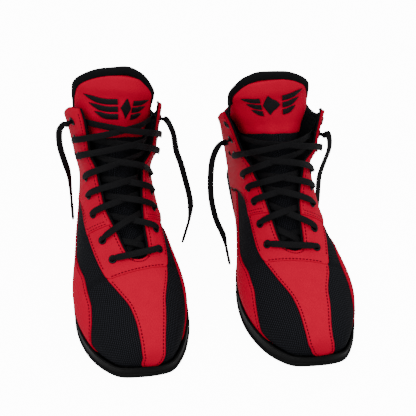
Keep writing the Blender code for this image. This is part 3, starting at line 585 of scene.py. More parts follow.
class Patch:
    """A patch of the last between two outlines, as a fine grid of stations and angles."""

    def __init__(self, boot, span, left, right, step=2.0, splayed=True):
        self.boot = boot
        self.splayed = splayed
        many = np.linspace(*span, 160)
        middle = (left(many) + right(many)) / 2
        run = lengths_of(last_points(boot, many, middle, splayed))
        self.down = graded(run[-1], step)[0]
        rows = np.interp(self.down, run, many)
        share = np.linspace(0, 1, 60)[:, None]
        angles = left(rows) + (right(rows) - left(rows)) * share
        widths = lengths_of(last_points(boot, rows[None, :] + 0 * angles, angles, splayed))
        self.across = graded(widths[-1], step)
        self.angle = np.array([np.interp(a, w, g) for a, w, g in zip(self.across, widths.T, angles.T)])
        self.t = np.repeat(rows[:, None], self.angle.shape[1], 1)
        self.width = widths[-1]

    def rim_distance(self, edges):
        """Distance to the nearest of the named edges: l, r (left, right), s, e (start, end)."""
        far = np.full(self.t.shape, 99.0)
        found = [far]
        if "l" in edges:
            found.append(self.across)
        if "r" in edges:
            found.append(self.width[:, None] - self.across)
        if "s" in edges:
            found.append(self.down[:, None] + 0 * far)
        if "e" in edges:
            found.append(self.down[-1] - self.down[:, None] + 0 * far)
        return np.minimum.reduce(found)

    def grid(self, depth):
        if callable(depth):
            depth = depth(self.t, self.angle)
        return surface(self.boot, self.t, self.angle, depth + 0 * self.t, self.splayed)

    def uv(self):
        return np.stack([self.down[:, None] + 0 * self.t, self.across - self.width[:, None] / 2], -1)

    def make(self, name, material, low, high, edges="lrse", holes=(), groove="", rim=1.0):
        """The patch as a shell between two depths, with rounded edges and a groove along some."""
        near = self.rim_distance(edges)
        curve = np.sqrt(1 - (1 - np.clip(near / rim, 0, 1))**2)
        low_depth = low(self.t, self.angle) if callable(low) else low + 0 * self.t
        high_depth = high(self.t, self.angle) if callable(high) else high + 0 * self.t
        depth = low_depth + (high_depth - low_depth) * (0.3 + 0.7 * curve)
        if groove:
            depth = depth - 0.25 * np.exp(-((self.rim_distance(groove) - STITCH_IN) / 0.7)**2)
        outer, inner = self.grid(depth), self.grid(low_depth)
        centre = (outer[:-1, :-1] + outer[1:, 1:]) / 2
        kept = np.ones(centre.shape[:2], bool)
        for spot, radius in holes:
            kept &= np.linalg.norm(centre - spot, axis=-1) > radius
        points, faces = closed(outer, inner, kept)
        uv = np.concatenate([self.uv().reshape(-1, 2)] * 2)
        edge = np.concatenate([near.ravel(), 0 * near.ravel()])
        return piece(f"{name}_{self.boot['key']}", place(self.boot, points), faces, material, uv, edge)

    def add(self, name, material, low, high, replaced=(), **shape):
        """make, for a patch that is finished with its own material."""
        made = self.make(name, material, low, high, **shape)
        return finish_piece(made, self.boot, "boot" if self.splayed else "tongue", replaced)


STITCH_IN = 2.3  # how far in from an edge its seam runs
STITCH_LONG = 2.1
STITCH_PITCH = 3.1


def outline(points, side=1, shift=0.0):
    """An outline as a function of an array of stations. Side -1 is lateral."""
    def angles(t):
        return side * np.clip(smooth(points, t) + shift, 0, feather_angle(t))
    return angles


def feather(side, extra=0.0):
    return lambda t: side * (feather_angle(t) + extra)


def capsule(count=6):
    """A unit stitch along x, as points and faces."""
    stations = [(-0.5, 0.3), (-0.3, 1), (0.3, 1), (0.5, 0.3)]
    turns = np.arange(count) * 2 * math.pi / count
    points = np.array([(x, r * math.cos(a), r * math.sin(a)) for x, r in stations for a in turns])
    last = (len(stations) - 1) * count
    ends = [list(range(count))[::-1], list(range(last, last + count))]
    return points, tube_faces(len(stations), count).tolist() + ends


class Seams:
    """Collects the stitches of one boot in one thread."""

    def __init__(self, boot, splayed=True):
        self.boot = boot
        self.splayed = splayed
        self.points = []
        self.faces = []
        self.count = 0

    def line(self, t, angle, depth, pitch=STITCH_PITCH, long=STITCH_LONG, thick=0.42):
        """Stitches along a line of stations and angles."""
        spots = surface(self.boot, t, angle, depth + 0 * t, self.splayed)
        normals = last_normals(self.boot, t, angle, self.splayed)
        run = lengths_of(spots)
        number = int((run[-1] - 2) / pitch)
        unit, sheets = capsule()
        for k in range(number):
            here = 1 + (k + 0.5) * pitch
            ends = [np.array([np.interp(here + d, run, spots[:, a]) for a in range(3)]) for d in (-1, 1)]
            normal = np.array([np.interp(here, run, normals[:, a]) for a in range(3)])
            x = ends[1] - ends[0]
            x /= max(np.linalg.norm(x), 1e-9)
            y = np.cross(normal, x)
            y /= max(np.linalg.norm(y), 1e-9)
            z = np.cross(x, y)
            axes = np.stack([x * long, y * thick, z * thick * 0.8])
            self.points.append(place(self.boot, (ends[0] + ends[1]) / 2 + unit @ axes))
            self.faces += [[i + self.count for i in face] for face in sheets]
            self.count += len(unit)

    def beside(self, patch, edge, depth, inward=STITCH_IN, trim=0.0):
        """Stitches beside one edge of a patch: l, r, s or e."""
        if edge in "lr":
            from_edge = patch.across if edge == "l" else patch.width[:, None] - patch.across
            use = (patch.down > trim) & (patch.down < patch.down[-1] - trim) & (patch.width > 2.4 * inward)
            angle = np.array([np.interp(inward, f[np.argsort(f)], a[np.argsort(f)])
                              for f, a in zip(from_edge, patch.angle)])
            t = patch.t[:, 0]
            self.line(t[use], angle[use], depth)
        else:
            place_down = inward if edge == "s" else patch.down[-1] - inward
            t = np.array([np.interp(place_down, patch.down, patch.t[:, 0])])
            row = int(np.argmin(np.abs(patch.t[:, 0] - t[0])))
            use = (patch.across[row] > trim) & (patch.across[row] < patch.width[row] - trim)
            self.line(np.full(use.sum(), t[0]), patch.angle[row][use], depth)

    def make(self, name, material):
        points = np.concatenate(self.points)
        uv = np.stack([points[:, 0] + points[:, 2], points[:, 1]], -1) / MM
        return piece(f"{name}_{self.boot['key']}", points, self.faces, material, uv, flat_over=80)


def catmull(points, samples):
    """Points evenly spaced in turn along a Catmull-Rom curve through the given ones."""
    route = [2 * points[0] - points[1], *points, 2 * points[-1] - points[-2]]
    made = []
    for a, b, c, d in zip(route, route[1:], route[2:], route[3:]):
        for k in range(samples):
            u = k / samples
            square = 2 * a - 5 * b + 4 * c - d
            cube = 3 * b - a - 3 * c + d
            made.append(0.5 * (2 * b + (c - a) * u + square * u**2 + cube * u**3))
    made.append(points[-1])
    return np.array(made)


def carried(points, start, pull=None, strength=None):
    """Normals carried along a line without twist, and drawn towards pull's line where strength says."""
    run = np.gradient(points, axis=0)
    run /= np.maximum(np.linalg.norm(run, axis=1, keepdims=True), 1e-9)
    normal = start - run[0] * (start @ run[0])
    made = []
    for k, way in enumerate(run):
        normal = normal - way * (normal @ way)
        normal = normal / np.linalg.norm(normal)
        if pull is not None and strength[k] > 0:
            aim = pull[k] - way * (pull[k] @ way)
            if np.linalg.norm(aim) > 0.4:
                aim = aim / np.linalg.norm(aim)
                aim = aim if aim @ normal > 0 else -aim
                normal = normal * (1 - strength[k]) + aim * strength[k]
                normal = normal / np.linalg.norm(normal)
        made.append(normal)
    return run, np.array(made)


def sweep(boot, name, points, run, normals, half_width, half_thick, material, sides=14, square=2.6):
    """A closed band along a line. Its section is a rounded oblong, with its thickness along the normals."""
    half_width = np.broadcast_to(half_width, len(points))
    half_thick = np.broadcast_to(half_thick, len(points))
    turns = (np.arange(sides) + 0.5) * 2 * math.pi / sides
    a = np.sign(np.cos(turns)) * np.abs(np.cos(turns))**(2 / square)
    b = np.sign(np.sin(turns)) * np.abs(np.sin(turns))**(2 / square)
    sideways = np.cross(run, normals)
    rings = (points[:, None] + sideways[:, None] * (half_width[:, None] * a[None, :])[..., None]
             + normals[:, None] * (half_thick[:, None] * b[None, :])[..., None])
    count = len(points)
    caps = [list(range(sides))[::-1], list(range((count - 1) * sides, count * sides))]
    faces = tube_faces(count, sides).tolist() + caps
    uv = np.stack([np.repeat(lengths_of(points), sides), (half_width[:, None] * a[None, :]).ravel()], -1)
    return piece(f"{name}_{boot['key']}", place(boot, rings.reshape(-1, 3)), faces, material, uv)


# ---------------------------------------------------------------- camera, floor and light

CAMERA_AIM = Vector((0.1, 4.4, 60)) * MM
CAMERA_ELEVATION = math.radians(44)
CAMERA_FAR = 854.2 * MM
FOCAL = 900 / 416  # in widths of the image
SENSOR = 36
FLOOR_SIZE = 6.0
FLOOR_GLOW = 12
SKY = 0.95
LAMPS = [("key", (-0.7, -0.9, 1.5), 22, 1.1), ("fill", (1.0, -0.3, 1.2), 9, 1.2),
         ("back", (0.2, 1.1, 1.1), 8, 1.0)]  # name, place, watts and size


def make_stage():
    camera = bpy.data.objects.new("camera", bpy.data.cameras.new("camera"))
    bpy.context.scene.collection.objects.link(camera)
    camera.data.sensor_width = SENSOR
    camera.data.lens = SENSOR * FOCAL
    back = Vector((0, -math.cos(CAMERA_ELEVATION), math.sin(CAMERA_ELEVATION)))
    camera.location = CAMERA_AIM + back * CAMERA_FAR
    camera.rotation_euler = (-back).to_track_quat("-Z", "Y").to_euler()
    camera.data.clip_start = 0.01
    bpy.context.scene.camera = camera

    mesh = bpy.data.meshes.new("floor")
    corners = [(x * FLOOR_SIZE, y * FLOOR_SIZE, 0) for x, y in ((-1, -1), (1, -1), (1, 1), (-1, 1))]
    mesh.from_pydata(corners, [], [(0, 1, 2, 3)])
    floor = bpy.data.objects.new("floor", mesh)
    bpy.context.scene.collection.objects.link(floor)
    floor.location.z = -0.0002
    floor.visible_diffuse = False
    floor.visible_glossy = False
    paper = bpy.data.materials.new("floor")
    paper.use_nodes = True
    shader = paper.node_tree.nodes["Principled BSDF"].inputs
    shader["Base Color"].default_value = (0.9, 0.9, 0.9, 1)
    shader["Roughness"].default_value = 0.9
    shader["Emission Color"].default_value = (1, 1, 1, 1)
    shader["Emission Strength"].default_value = FLOOR_GLOW
    mesh.materials.append(paper)

    world = bpy.data.worlds.new("studio")
    world.use_nodes = True
    sky = world.node_tree.nodes["Background"].inputs
    sky["Color"].default_value = (1, 1, 1, 1)
    sky["Strength"].default_value = SKY
    bpy.context.scene.world = world
    for name, spot, power, size in LAMPS:
        lamp = bpy.data.objects.new(name, bpy.data.lights.new(name, "AREA"))
        bpy.context.scene.collection.objects.link(lamp)
        lamp.data.energy = power
        lamp.data.size = size
        lamp.location = spot
        lamp.rotation_euler = (CAMERA_AIM - Vector(spot)).to_track_quat("-Z", "Y").to_euler()


# ---------------------------------------------------------------- laces

LACE_WIDTH = 6.0
LACE_THICK = 1.2
BUNCHED = (1.75, 1.05)  # half width and half thickness where the lace goes through an eyelet


def eyelet(row, side):
    """Station and angle of an eyelet. Side -1 is lateral."""
    t, lateral, medial = EYELETS[row]
    return t, side * (lateral if side < 0 else medial)


def eyelet_spot(boot, row, side, depth=0.0):
    t, angle = eyelet(row, side)
    return surface(boot, np.array(t), np.array(angle), np.array(depth))


def lace_strand(boot, side):
    """Half of the lace, from the bottom row up: station, angle and depth, as in the CAD."""
    t, angle = eyelet(0, side)
    points = [(t, angle, LACE_OUT), (t, angle, LACE_IN)]
    for row in range(boot["top_row"]):
        crossing = FIRST_CROSSING if row == 0 else CROSSING
        way = side * (-1) ** row
        t, angle = eyelet(row, way)
        next_t, next_angle = eyelet(row + 1, -way)
        for share, under, over in crossing:
            depth = over if side > 0 else under
            points.append((t + (next_t - t) * share, angle + (next_angle - angle) * share, depth))
        points += [(next_t, next_angle, LACE_IN), (next_t, next_angle, LACE_OUT)]
    return points


# Which way the face of a hanging lace end looks: share of its length, and degrees from the front.
LACE_FACING = {
    "lateral_a": [(0, 10), (0.6, 5), (0.8, 55), (1, 70)],
    "medial_a": [(0, 30), (0.25, 35), (0.45, 5), (0.8, -10), (1, 40)],
    "lateral_b": [(0, -10), (0.5, 0), (1, 10)],
    "medial_b": [(0, 10), (0.35, 25), (0.7, 20), (1, 50)],
}


def lace_sizes(boot, points, opening=5.0):
    """Half width and half thickness along a lace: it bunches up where it goes through an eyelet."""
    spots = np.array([eyelet_spot(boot, row, side) for row in range(len(EYELETS)) for side in (-1, 1)])
    near = np.min(np.linalg.norm(points[:, None] - spots[None], axis=-1), axis=1)
    free = ramp((near - 3.5) / opening)
    return [tight + (full / 2 - tight) * free for tight, full in zip(BUNCHED, (LACE_WIDTH, LACE_THICK))]


def make_lace(boot):
    t, angle = eyelet(0, 1)
    bar = [(t - 0.06, -angle * 0.5, LACE_OUT + 0.3), (t - 0.06, angle * 0.5, LACE_OUT + 0.3)]
    route = np.array(lace_strand(boot, -1)[::-1] + bar + lace_strand(boot, 1))
    route[[0, -1], 2] += END_GAP - 0.1
    spots = surface(boot, route[:, 0], route[:, 1], route[:, 2])
    line = catmull(spots, 7)
    pull = catmull(last_normals(boot, route[:, 0], route[:, 1]), 7)
    half_width, half_thick = lace_sizes(boot, line)
    free = (half_width - BUNCHED[0]) / (LACE_WIDTH / 2 - BUNCHED[0])
    run, normals = carried(line, pull[0] + np.array((0.3, 0, 0)), pull, 0.5 * free)
    made = sweep(boot, "lace", line, run, normals, half_width, half_thick, "lace_black")
    finish_piece(made, boot, "boot", ["lace"])


def make_lace_end(boot, word, side):
    start = [eyelet_spot(boot, boot["top_row"], side, LACE_OUT + depth) for depth in (END_GAP, 3)]
    route = [*start, *[np.array(p, float) for p in boot["ends"][word]]]
    tip = (route[-1] - route[-2]) / np.linalg.norm(route[-1] - route[-2])
    line = catmull(route, 6)[:-6]
    half_width, half_thick = lace_sizes(boot, line, 2.5)
    taper = np.clip((len(line) - 1 - np.arange(len(line))) / 6, 0, 1)
    half_width = 1.3 + (half_width - 1.3) * taper
    half_thick = 1.2 + (half_thick - 1.2) * taper
    share = np.linspace(0, 1, len(line))
    facing = np.radians(smooth(LACE_FACING[f"{word}_{boot['key']}"], share))
    pull = np.stack([np.sin(facing), -np.cos(facing), 0.25 + 0 * facing], -1)
    run, normals = carried(line, pull[0], pull, np.full(len(line), 0.35))
    end = sweep(boot, f"lace_end_{word}", line, run, normals, half_width, half_thick, "lace_black")
    finish_piece(end, boot, "boot", [f"lace_end_{word}"])
    middle = route[-2] + tip * np.array([END_GAP - 0.9, 1.5, AGLET_LENGTH - 3, AGLET_LENGTH])[:, None]
    radius = np.array([1.35, 1.5, 1.4, 1.1])
    turned = np.cross(tip, (0.3, 0.9, 0.1))
    frames = np.repeat((turned / np.linalg.norm(turned))[None], 4, 0)
    aglet = sweep(boot, f"aglet_{word}", middle, np.repeat(tip[None], 4, 0), frames, radius, radius,
                  "aglet_plastic", 16, 2.0)
    finish_piece(aglet, boot, "boot", [f"aglet_{word}"])


# ---------------------------------------------------------------- sole


SOLE_ROWS = 170


def level_line(boot, side, share, depth, count=SOLE_ROWS):
    """A line round the last, from toe to heel, at a share of the way from the feather edge to the wall's top.

    Returns its stations, its points and the last's normals there, evenly spaced.
    """
    def height(t):
        return along(FEATHER, t) * (1 - share) + along(SIDEWALL, t) * share
    many = np.linspace(0, 13, 2601)
    inside = (section(many)[:, 1] >= height(many)) & (section(many)[:, 3] <= height(many))
    first, final = many[inside][[0, -1]]
    t = first + (final - first) * (1 - np.cos(np.linspace(0, np.pi, 700))) / 2
    angle = angle_at_height(t, height(t))
    angle[0] = 0
    angle[-1] = 180
    run = lengths_of(last_points(boot, t, side * angle))
    even = np.linspace(0, run[-1], count)
    t, angle = np.interp(even, run, t), np.interp(even, run, angle)
    normals = last_normals(boot, t, side * angle)
    return t, last_points(boot, t, side * angle) + normals * depth, normals


def tread_groove(points):
    """How deep the tread is cut into the underside: slanted ribs, and rings at the ball and the heel."""
    x, y = points[..., 0], points[..., 1]
    ribs = np.abs(((y + 0.55 * np.abs(x) + 400) % 7.0) - 3.5)
    depth = np.clip(1.4 - ribs, 0, 1)
    for centre_x, centre_y, radius in ((0, 72, 27), (-1, 238, 22)):
        away = np.hypot(x - centre_x, y - centre_y)
        rings = np.clip(1.3 - np.abs((away % 6.0) - 3.0), 0, 1)
        depth = np.where(away < radius, rings, depth)
    return depth * 1.2


# The wall's inner face, lip and outer face: height share and depth. The tread's edge: offset and height.
SOLE_WALL = [(0, 0.6), (0.5, 1.5), (0.92, 1.6), (1.02, 1.9), (1.04, 2.5), (1, 3.1), (0.9, 3.5), (0.6, 3.7),
             (0.25, 3.8)]
SOLE_EDGE = [(4.0, 6.3), (4.1, 5.2), (3.6, 4.8), (3.7, 4.3), (4.6, 3.8), (5.2, 2.6), (5.3, 1.2), (4.9, 0.3),
             (4.0, 0)]


def make_outsole(boot):
    columns = {}
    for side in (-1, 1):
        t, foot, normals = level_line(boot, side, 0, 0)
        out = normals * (1, 1, 0)
        out /= np.linalg.norm(out, axis=1, keepdims=True)
        below = foot - out * 2
        below[:, 2] -= 2.2
        made = [below] + [level_line(boot, side, *spot)[1] for spot in SOLE_WALL]
        for offset, height in SOLE_EDGE:
            edge = foot + out * offset
            edge[:, 2] = along(TREAD, t) + height
            made.append(edge)
        columns[side] = made
    share = np.linspace(0, 1, 74)[1:-1, None, None]
    under = columns[-1][-1] * (1 - share) + columns[1][-1] * share
    fade = np.clip((np.minimum(share, 1 - share)[..., 0] * 100 - 3) / 3, 0, 1)
    rows = np.arange(SOLE_ROWS)
    ends = np.clip(np.minimum(rows, rows[::-1]) / 8 - 0.6, 0, 1)
    under[..., 2] += tread_groove(under) * fade * ends[None, :]
    floor_share = np.linspace(0, 1, 16)[1:-1, None, None]
    floor = columns[1][0] * (1 - floor_share) + columns[-1][0] * floor_share
    ring = np.concatenate([np.array(columns[-1]), under, np.array(columns[1])[::-1], floor])
    points = np.swapaxes(ring, 0, 1).reshape(-1, 3)
    faces = tube_faces(SOLE_ROWS, len(ring))
    uv = np.stack([points[:, 1], points[:, 0] + points[:, 2]], -1)
    made = piece(f"outsole_{boot['key']}", place(boot, points), faces, "rubber_sole", uv, flat_over=40)
    finish_piece(made, boot, "boot", ["outsole"])


def make_footbed(boot):
    def rim(side):
        def angles(t):
            edge = feather_angle(t)
            inward = edge + 0.16 * (180 - edge)
            return inward if side < 0 else 360 - inward
        return angles
    bed = Patch(boot, (1.3, 10.8), rim(-1), rim(1), 3.0)
    bed.add("footbed", "footbed_foam", -1.8, -5.0, ["footbed"])
    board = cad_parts[f"insole_board_{boot['key']}"]
    board.data.materials.clear()
    board.data.materials.append(MATERIALS["insole_board"])


# ---------------------------------------------------------------- upper


def tube_holes(boot, side, radius):
    return [(eyelet_spot(boot, row, side), radius) for row in range(len(EYELETS))]


# Depths of the layers, outwards from the last.
MESH = (-1.2, 0)
LINING = (-1.5, -2.9)
FACING = (-1.6, -0.2)
UNDER = -0.1
STRIPE_TOP = 1.0
PANEL_TOP = 1.1
EYESTAY_TOP = 1.6
HEEL_TOP = 2.5


def make_shells(boot):
    """The mesh of the vamp and the lining."""
    start = LINING_FRONT[0][0]
    mesh = Patch(boot, (0, start), feather(-1), feather(1), 2.4)
    mesh.add("vamp_mesh", "air_mesh", *MESH, ["vamp_mesh"], edges="")
    lining = Patch(boot, (1, start), feather(-1), feather(1), 4)
    lining.add("lining_toe", "lining_fabric", -1.7, LINING[1], ["lining"], edges="")
    for side, word in SIDES:
        front = outline(LINING_FRONT, side)
        ends = (feather(side), front)[::-side]
        back_mesh = Patch(boot, (start - 0.01, 9.4), *ends, 2.4)
        back_mesh.add(f"vamp_mesh_{word}", "air_mesh", *MESH, edges="")
        shaft = Patch(boot, (start - 0.01, COLLAR + 0.1), *ends, 3)
        shaft.add(f"lining_{word}", "lining_fabric", *LINING, edges="")


def front_edge(boot, side, shift=0.0):
    """The edge of the throat. The lateral wing of a laced boot comes further forward at its top."""
    forward = boot["throat"] if side < 0 else (0, 0)

    def angles(t):
        wider = np.interp(t, (9.5, 12.5, 14.5), (0, *forward))
        return side * (np.abs(outline(THROAT, side, shift)(t)) - wider)
    return angles


def make_overlays(boot):
    """The red panels with their seams, the facings, the vents, the backstay and the collar's binding."""
    seams = Seams(boot)
    red = "red_leather"

    stripe = Patch(boot, (0.02, 5.75), outline(STRIPE_LATERAL, -1), outline(STRIPE_MEDIAL), 2.0)
    stripe.add("vamp_stripe", red, UNDER, STRIPE_TOP, ["vamp_stripe"], edges="lr", groove="lr")
    for edge in "lr":
        seams.beside(stripe, edge, STRIPE_TOP, trim=3)

    for (side, word), border in zip(SIDES, (EYESTAY_LATERAL, EYESTAY_MEDIAL)):
        throat = front_edge(boot, side)
        back = outline(border, side)
        throat_edge, back_edge = "rl"[::-side]
        holes = tube_holes(boot, side, 3.1)
        stay = Patch(boot, (5.95, 7.62), *(back, throat)[::-side], 1.5)
        stay.add(f"vamp_eyestay_{word}", red, UNDER, EYESTAY_TOP, edges="lr", holes=holes, groove="lr")
        seams.beside(stay, back_edge, EYESTAY_TOP, trim=1)
        seams.beside(stay, throat_edge, EYESTAY_TOP, trim=1)

        def rear(t, side=side, back=back):
            return side * np.minimum(np.abs(back(t)), np.abs(outline(HEEL_FRONT, side, 3.0)(t)))

        def lapped(t, angle):
            return 1.5 + 0.8 * np.clip(1 - (t - 7.4) / 0.8, 0, 1)
        quarter = Patch(boot, (7.45, COLLAR), *(rear, throat)[::-side], 1.7)
        quarter.add(f"quarter_{word}", red, UNDER, lapped, [f"quarter_{word}"], holes=holes, groove="lrs")
        seams.beside(quarter, throat_edge, 1.55, trim=2)
        for inward in (STITCH_IN, STITCH_IN + 2.6):
            seams.beside(quarter, back_edge, 1.6, inward, trim=2)
            seams.beside(quarter, "s", 2.0, inward, trim=1)

        facing_ends = (outline(FACING_BACK, side), front_edge(boot, side, -2.2))
        facing = Patch(boot, (6.0, COLLAR - 0.05), *facing_ends[::-side], 1.7)
        made = facing.make(f"eyelet_facing_{word}", "lining_fabric", *FACING, holes=holes)
        finish_piece(made, boot, "boot", [f"eyelets_{word}"])
        spots = [(*eyelet(row, side), EYESTAY_TOP if row < 2 else 1.55) for row in range(len(EYELETS))]
        make_turned(boot, f"eyelet_rings_{word}", spots, RING, 28, True)

    bridge = Patch(boot, (5.55, 5.96), outline(EYESTAY_LATERAL, -1), outline(EYESTAY_MEDIAL), 1.5)
    bridge.add("vamp_eyestay", red, UNDER, EYESTAY_TOP, ["vamp_eyestay"], edges="lrs", groove="s")
    seams.beside(bridge, "s", EYESTAY_TOP, trim=2)
    across = np.linspace(-12, 12, 40)
    seams.line(5.87 + 0.0014 * across**2, across, EYESTAY_TOP, 1.7, 1.3)

    lift = boot["panel_lift"]
    raised = [(t + lift * float(np.clip(t - 4.6, 0, 1)), angle) for t, angle in SIDE_LATERAL]
    for (side, word), shape in zip(SIDES, (raised, SIDE_MEDIAL)):
        front_side = "r" if side < 0 else "l"
        ends = (feather(side), outline(shape, side))
        patch = Patch(boot, (shape[0][0], shape[-1][0]), *ends[::-side], 2.0)
        patch.add(f"side_panel_{word}", red, UNDER, PANEL_TOP, [f"side_panel_{word}"], groove=front_side)
        seams.beside(patch, front_side, PANEL_TOP, trim=2)

        ends = (feather(side), outline(HEEL_FRONT, side))
        heel = Patch(boot, (HEEL_FRONT[0][0], 13.05), *ends[::-side], 2.0)
        replaced = ["heel_panel"] if side < 0 else ()
        heel.add(f"heel_panel_{word}", red, UNDER, HEEL_TOP, replaced, groove=front_side)
        seams.beside(heel, front_side, HEEL_TOP, trim=2)
    finish_piece(seams.make("stitching_upper", "red_thread"), boot, "boot")

    make_turned(boot, "vents", VENTS, VENT_RING, 24, False)
    stay = Patch(boot, (12.9, COLLAR + 0.1), lambda t: 0 * t + 166, lambda t: 0 * t + 194, 1.6)
    stay.add("backstay", "black_leather", 0.6, 2.6, ["backstay"], groove="lr")
    dark = Seams(boot)
    for edge in "lr":
        dark.beside(stay, edge, 2.5, trim=1)
    finish_piece(dark.make("stitching_backstay", "black_thread"), boot, "boot")
    make_collar(boot)


COLLAR_LINE = 15.2


def make_collar(boot):
    """The binding of the top line, thin at the front and full from the sides backwards."""
    start = float(outline(THROAT)(np.array(COLLAR_LINE)))
    angle = np.linspace(start, 360 - start, 150)
    full = ramp((np.minimum(angle, 360 - angle) - 72) / 34)
    t = COLLAR_LINE - 0.22 * (1 - full)
    rim = surface(boot, t, angle, -0.7 - 1.1 * (1 - full))
    pull = last_normals(boot, t, angle)
    run, normals = carried(rim, pull[0], pull, np.ones(len(t)))
    made = sweep(boot, "collar_binding", rim, run, normals, 1.2 + 1.9 * full, 0.9 + 1.4 * full,
                 "black_binding", 16, 2.3)
    finish_piece(made, boot, "boot", ["collar_binding"])


# Profiles of the turned parts: radius and height.
RING = [(2.1, -2.6), (2.1, 0.2), (2.3, 0.62), (2.8, 0.86), (3.3, 0.82), (3.8, 0.45), (4.05, 0.0), (4.0, -0.3)]
VENT_RING = [(0, 0.35), (1, 0.3), (1.25, 0.75), (1.8, 1.05), (2.3, 0.85), (2.6, 0.2), (2.6, -0.4), (0, -0.4)]
VENTS = [(11.55, -71, 1.5), (12.5, -71, 1.5)]  # station, angle and depth


def make_turned(boot, name, spots, profile, turns, hollow):
    """Eyelet rings or vents, turned from one profile: one at each station, angle and depth."""
    points, faces = [], []
    for t, angle, depth in spots:
        spot = surface(boot, np.array(t), np.array(angle), np.array(depth))
        normal = last_normals(boot, np.array([t]), np.array([angle]))[0]
        first = np.cross(normal, (0, 1, 0.2))
        first /= np.linalg.norm(first)
        second = np.cross(normal, first)
        faces.append(tube_faces(turns, len(profile), hollow, True) + len(points))
        for a in np.arange(turns) * 2 * math.pi / turns:
            out = first * math.cos(a) + second * math.sin(a)
            points += [spot + out * r + normal * h for r, h in profile]
    made = piece(f"{name}_{boot['key']}", place(boot, points), np.concatenate(faces), "eyelet_black")
    finish_piece(made, boot, "boot")


# ---------------------------------------------------------------- tongue


PUFF_FRAMES = 14


def puff(made, pinned, pressure, cap):
    """Fills a closed pad by cloth simulation, and limits how far a point may move, in metres."""
    scene = bpy.context.scene
    group = made.vertex_groups.new(name="pin")
    for index, weight in pinned:
        group.add([index], weight, "REPLACE")
    rest = np.array([v.co for v in made.data.vertices])
    cloth = made.modifiers.new("cloth", "CLOTH")
    cloth.settings.vertex_group_mass = "pin"
    cloth.settings.use_pressure = True
    cloth.settings.uniform_pressure_force = pressure
    cloth.settings.effector_weights.gravity = 0
    cloth.settings.quality = 6
    cloth.settings.mass = 0.1
    cloth.settings.tension_stiffness = 12
    cloth.settings.compression_stiffness = 12
    cloth.settings.bending_stiffness = 0.5
    cloth.point_cache.frame_end = PUFF_FRAMES
    for number in range(1, PUFF_FRAMES + 1):
        scene.frame_set(number)
    moved = made.evaluated_get(bpy.context.evaluated_depsgraph_get())
    swollen = np.array([v.co for v in moved.data.vertices])
    shift = swollen - rest
    long = np.linalg.norm(shift, axis=1, keepdims=True)
    shift *= np.minimum(1, cap / np.maximum(long, 1e-9))
    made.modifiers.remove(cloth)
    made.data.vertices.foreach_set("co", (rest + shift).astype(np.float32).ravel())
    made.data.update()
    scene.frame_set(1)


def pins_of(made):
    """Every point with its pin weight: held at the rim, free 8 mm inside it."""
    values = np.zeros(len(made.data.vertices), np.float32)
    made.data.attributes["edge"].data.foreach_get("value", values)
    return [(i, float(np.clip(1 - v / 8, 0, 1))) for i, v in enumerate(values) if v < 8]


def make_tongue(boot):
    def outer(t, angle):
        return tongue_depth(t, angle)

    def inner(t, angle):
        return tongue_depth(t, angle) - smooth(TONGUE_THICK, t)

    base_span = (TONGUE[0][0], TONGUE_SPLIT + 0.25)
    base = Patch(boot, base_span, outline(TONGUE, -1), outline(TONGUE), 2.6, False)
    low = base.make("tongue_base", "tongue_mesh", inner, outer, edges="lrs", rim=3.0)
    puff(low, pins_of(low), 3.0, 1.2 * MM)
    finish_piece(low, boot, "tongue", ["tongue_base"])

    def raised(t, angle):
        return tongue_depth(t, angle) + 0.3 - 1.3 * np.clip(1 - (t - TONGUE_SPLIT) / 0.15, 0, 1)
    top = Patch(boot, (TONGUE_SPLIT, TONGUE_INNER[-1][0] - 0.02), outline(TONGUE_INNER, -1, 2),
                outline(TONGUE_INNER, 1, 2), 2.4, False)
    high = top.make("tongue_top", "red_leather", inner, raised, edges="lre", groove="lre", rim=2.0)
    puff(high, pins_of(high), 3.0, 1.6 * MM)
    finish_piece(high, boot, "tongue", ["tongue_top"])

    def behind(t, angle):
        return inner(t, angle) - 0.1
    back = Patch(boot, (TONGUE_SPLIT + 0.3, TONGUE_INNER[-1][0] - 0.05), outline(TONGUE_INNER, -1, 1.5),
                 outline(TONGUE_INNER, 1, 1.5), 3.0, False)
    back.add("tongue_lining", "lining_fabric", lambda t, angle: inner(t, angle) - 0.9, behind)

    middle = [(t, (angle + float(smooth(TONGUE, np.array(t)))) / 2) for t, angle in TONGUE_INNER[:-2]]
    half = [(TONGUE_SPLIT - 0.1, middle[0][1]), *middle[1:-1], (17.3, 24), (17.55, 12)]
    route = np.array([(t, -a) for t, a in half] + [(17.7, 0)] + [(t, a) for t, a in half[::-1]])
    fine = catmull(route, 8)
    t, angle = fine[:, 0], fine[:, 1]
    lift = -smooth(TONGUE_THICK, t) / 2 + 0.3
    line = surface(boot, t, angle, tongue_depth(t, angle) + lift, False)
    pull = last_normals(boot, t, angle, False)
    run, normals = carried(line, pull[0], pull, np.ones(len(t)))
    binding = sweep(boot, "tongue_binding", line, run, normals, 3.8, smooth(TONGUE_THICK, t) / 2 + 0.5,
                    "black_binding", 16, 2.3)
    finish_piece(binding, boot, "tongue", ["tongue_binding"])
    make_emblem(boot)


EMBLEM_BARS = 3


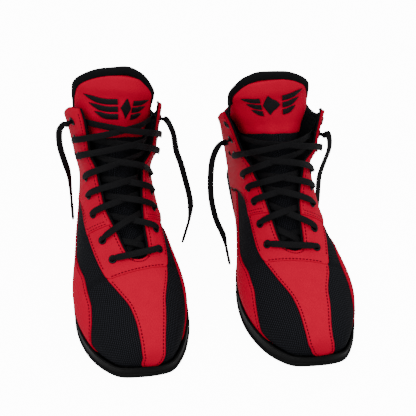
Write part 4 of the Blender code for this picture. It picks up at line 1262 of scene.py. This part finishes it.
def make_emblem(boot):
    """A made-up emblem: a rhombus between two sets of swept bars, in raised satin stitch."""
    middle, sideways = boot["emblem"]
    spot = surface(boot, np.array([middle, middle + 0.1, middle]), np.array([0, 0, 1.0]),
                   np.zeros(3), False)
    per_station = np.linalg.norm(spot[1] - spot[0]) * 10
    per_degree = np.linalg.norm(spot[2] - spot[0])
    strips = []
    s = np.linspace(0, 1, 22)
    for side in (-1, 1):
        for k in range(EMBLEM_BARS):
            reach = 29 - 3.5 * k
            x = side * (7.5 + (reach - 7.5) * s)
            y = 6.4 - 7.2 * k + 4.2 * s**2
            width = 2.7 * np.clip(1.25 * (1 - s**3), 0.12, 1)
            strips.append((x, y, width))
    x = np.linspace(-5.6, 5.6, 24)
    strips.append((x, 0 * x + 0.4, np.maximum(10.5 * (1 - np.abs(x) / 5.7), 0.15)))
    points, faces, uv = [], [], []
    count = 9
    share = np.linspace(-1, 1, count)
    for x, y, width in strips:
        across = y[:, None] + width[:, None] * share[None, :]
        t = middle + across / per_station
        angle = ((x + sideways) / per_degree)[:, None] + 0 * t
        dome = 0.35 + 0.75 * np.sqrt(np.clip(1 - share[None, :]**2, 0, 1)) * np.clip(width[:, None], 0, 1)
        outer = surface(boot, t, angle, tongue_depth(t, angle) + 0.5 + dome, False)
        inner = surface(boot, t, angle, tongue_depth(t, angle) - 0.2, False)
        made, sheets = closed(outer, inner, np.ones((len(x) - 1, count - 1), bool))
        faces += (sheets + len(points)).tolist()
        points += made.tolist()
        flat = np.stack([x[:, None] + 0 * across, across], -1).reshape(-1, 2)
        uv += flat.tolist() * 2
    emblem = piece(f"tongue_emblem_{boot['key']}", place(boot, points), faces, "emblem_thread", uv)
    finish_piece(emblem, boot, "tongue", ["tongue_emblem"])


make_stage()
for key, boot in BOOTS.items():
    boot["key"] = key
    make_lace_end(boot, "lateral", -1)
    make_lace_end(boot, "medial", 1)
    make_lace(boot)
    make_outsole(boot)
    make_footbed(boot)
    make_shells(boot)
    make_overlays(boot)
    make_tongue(boot)
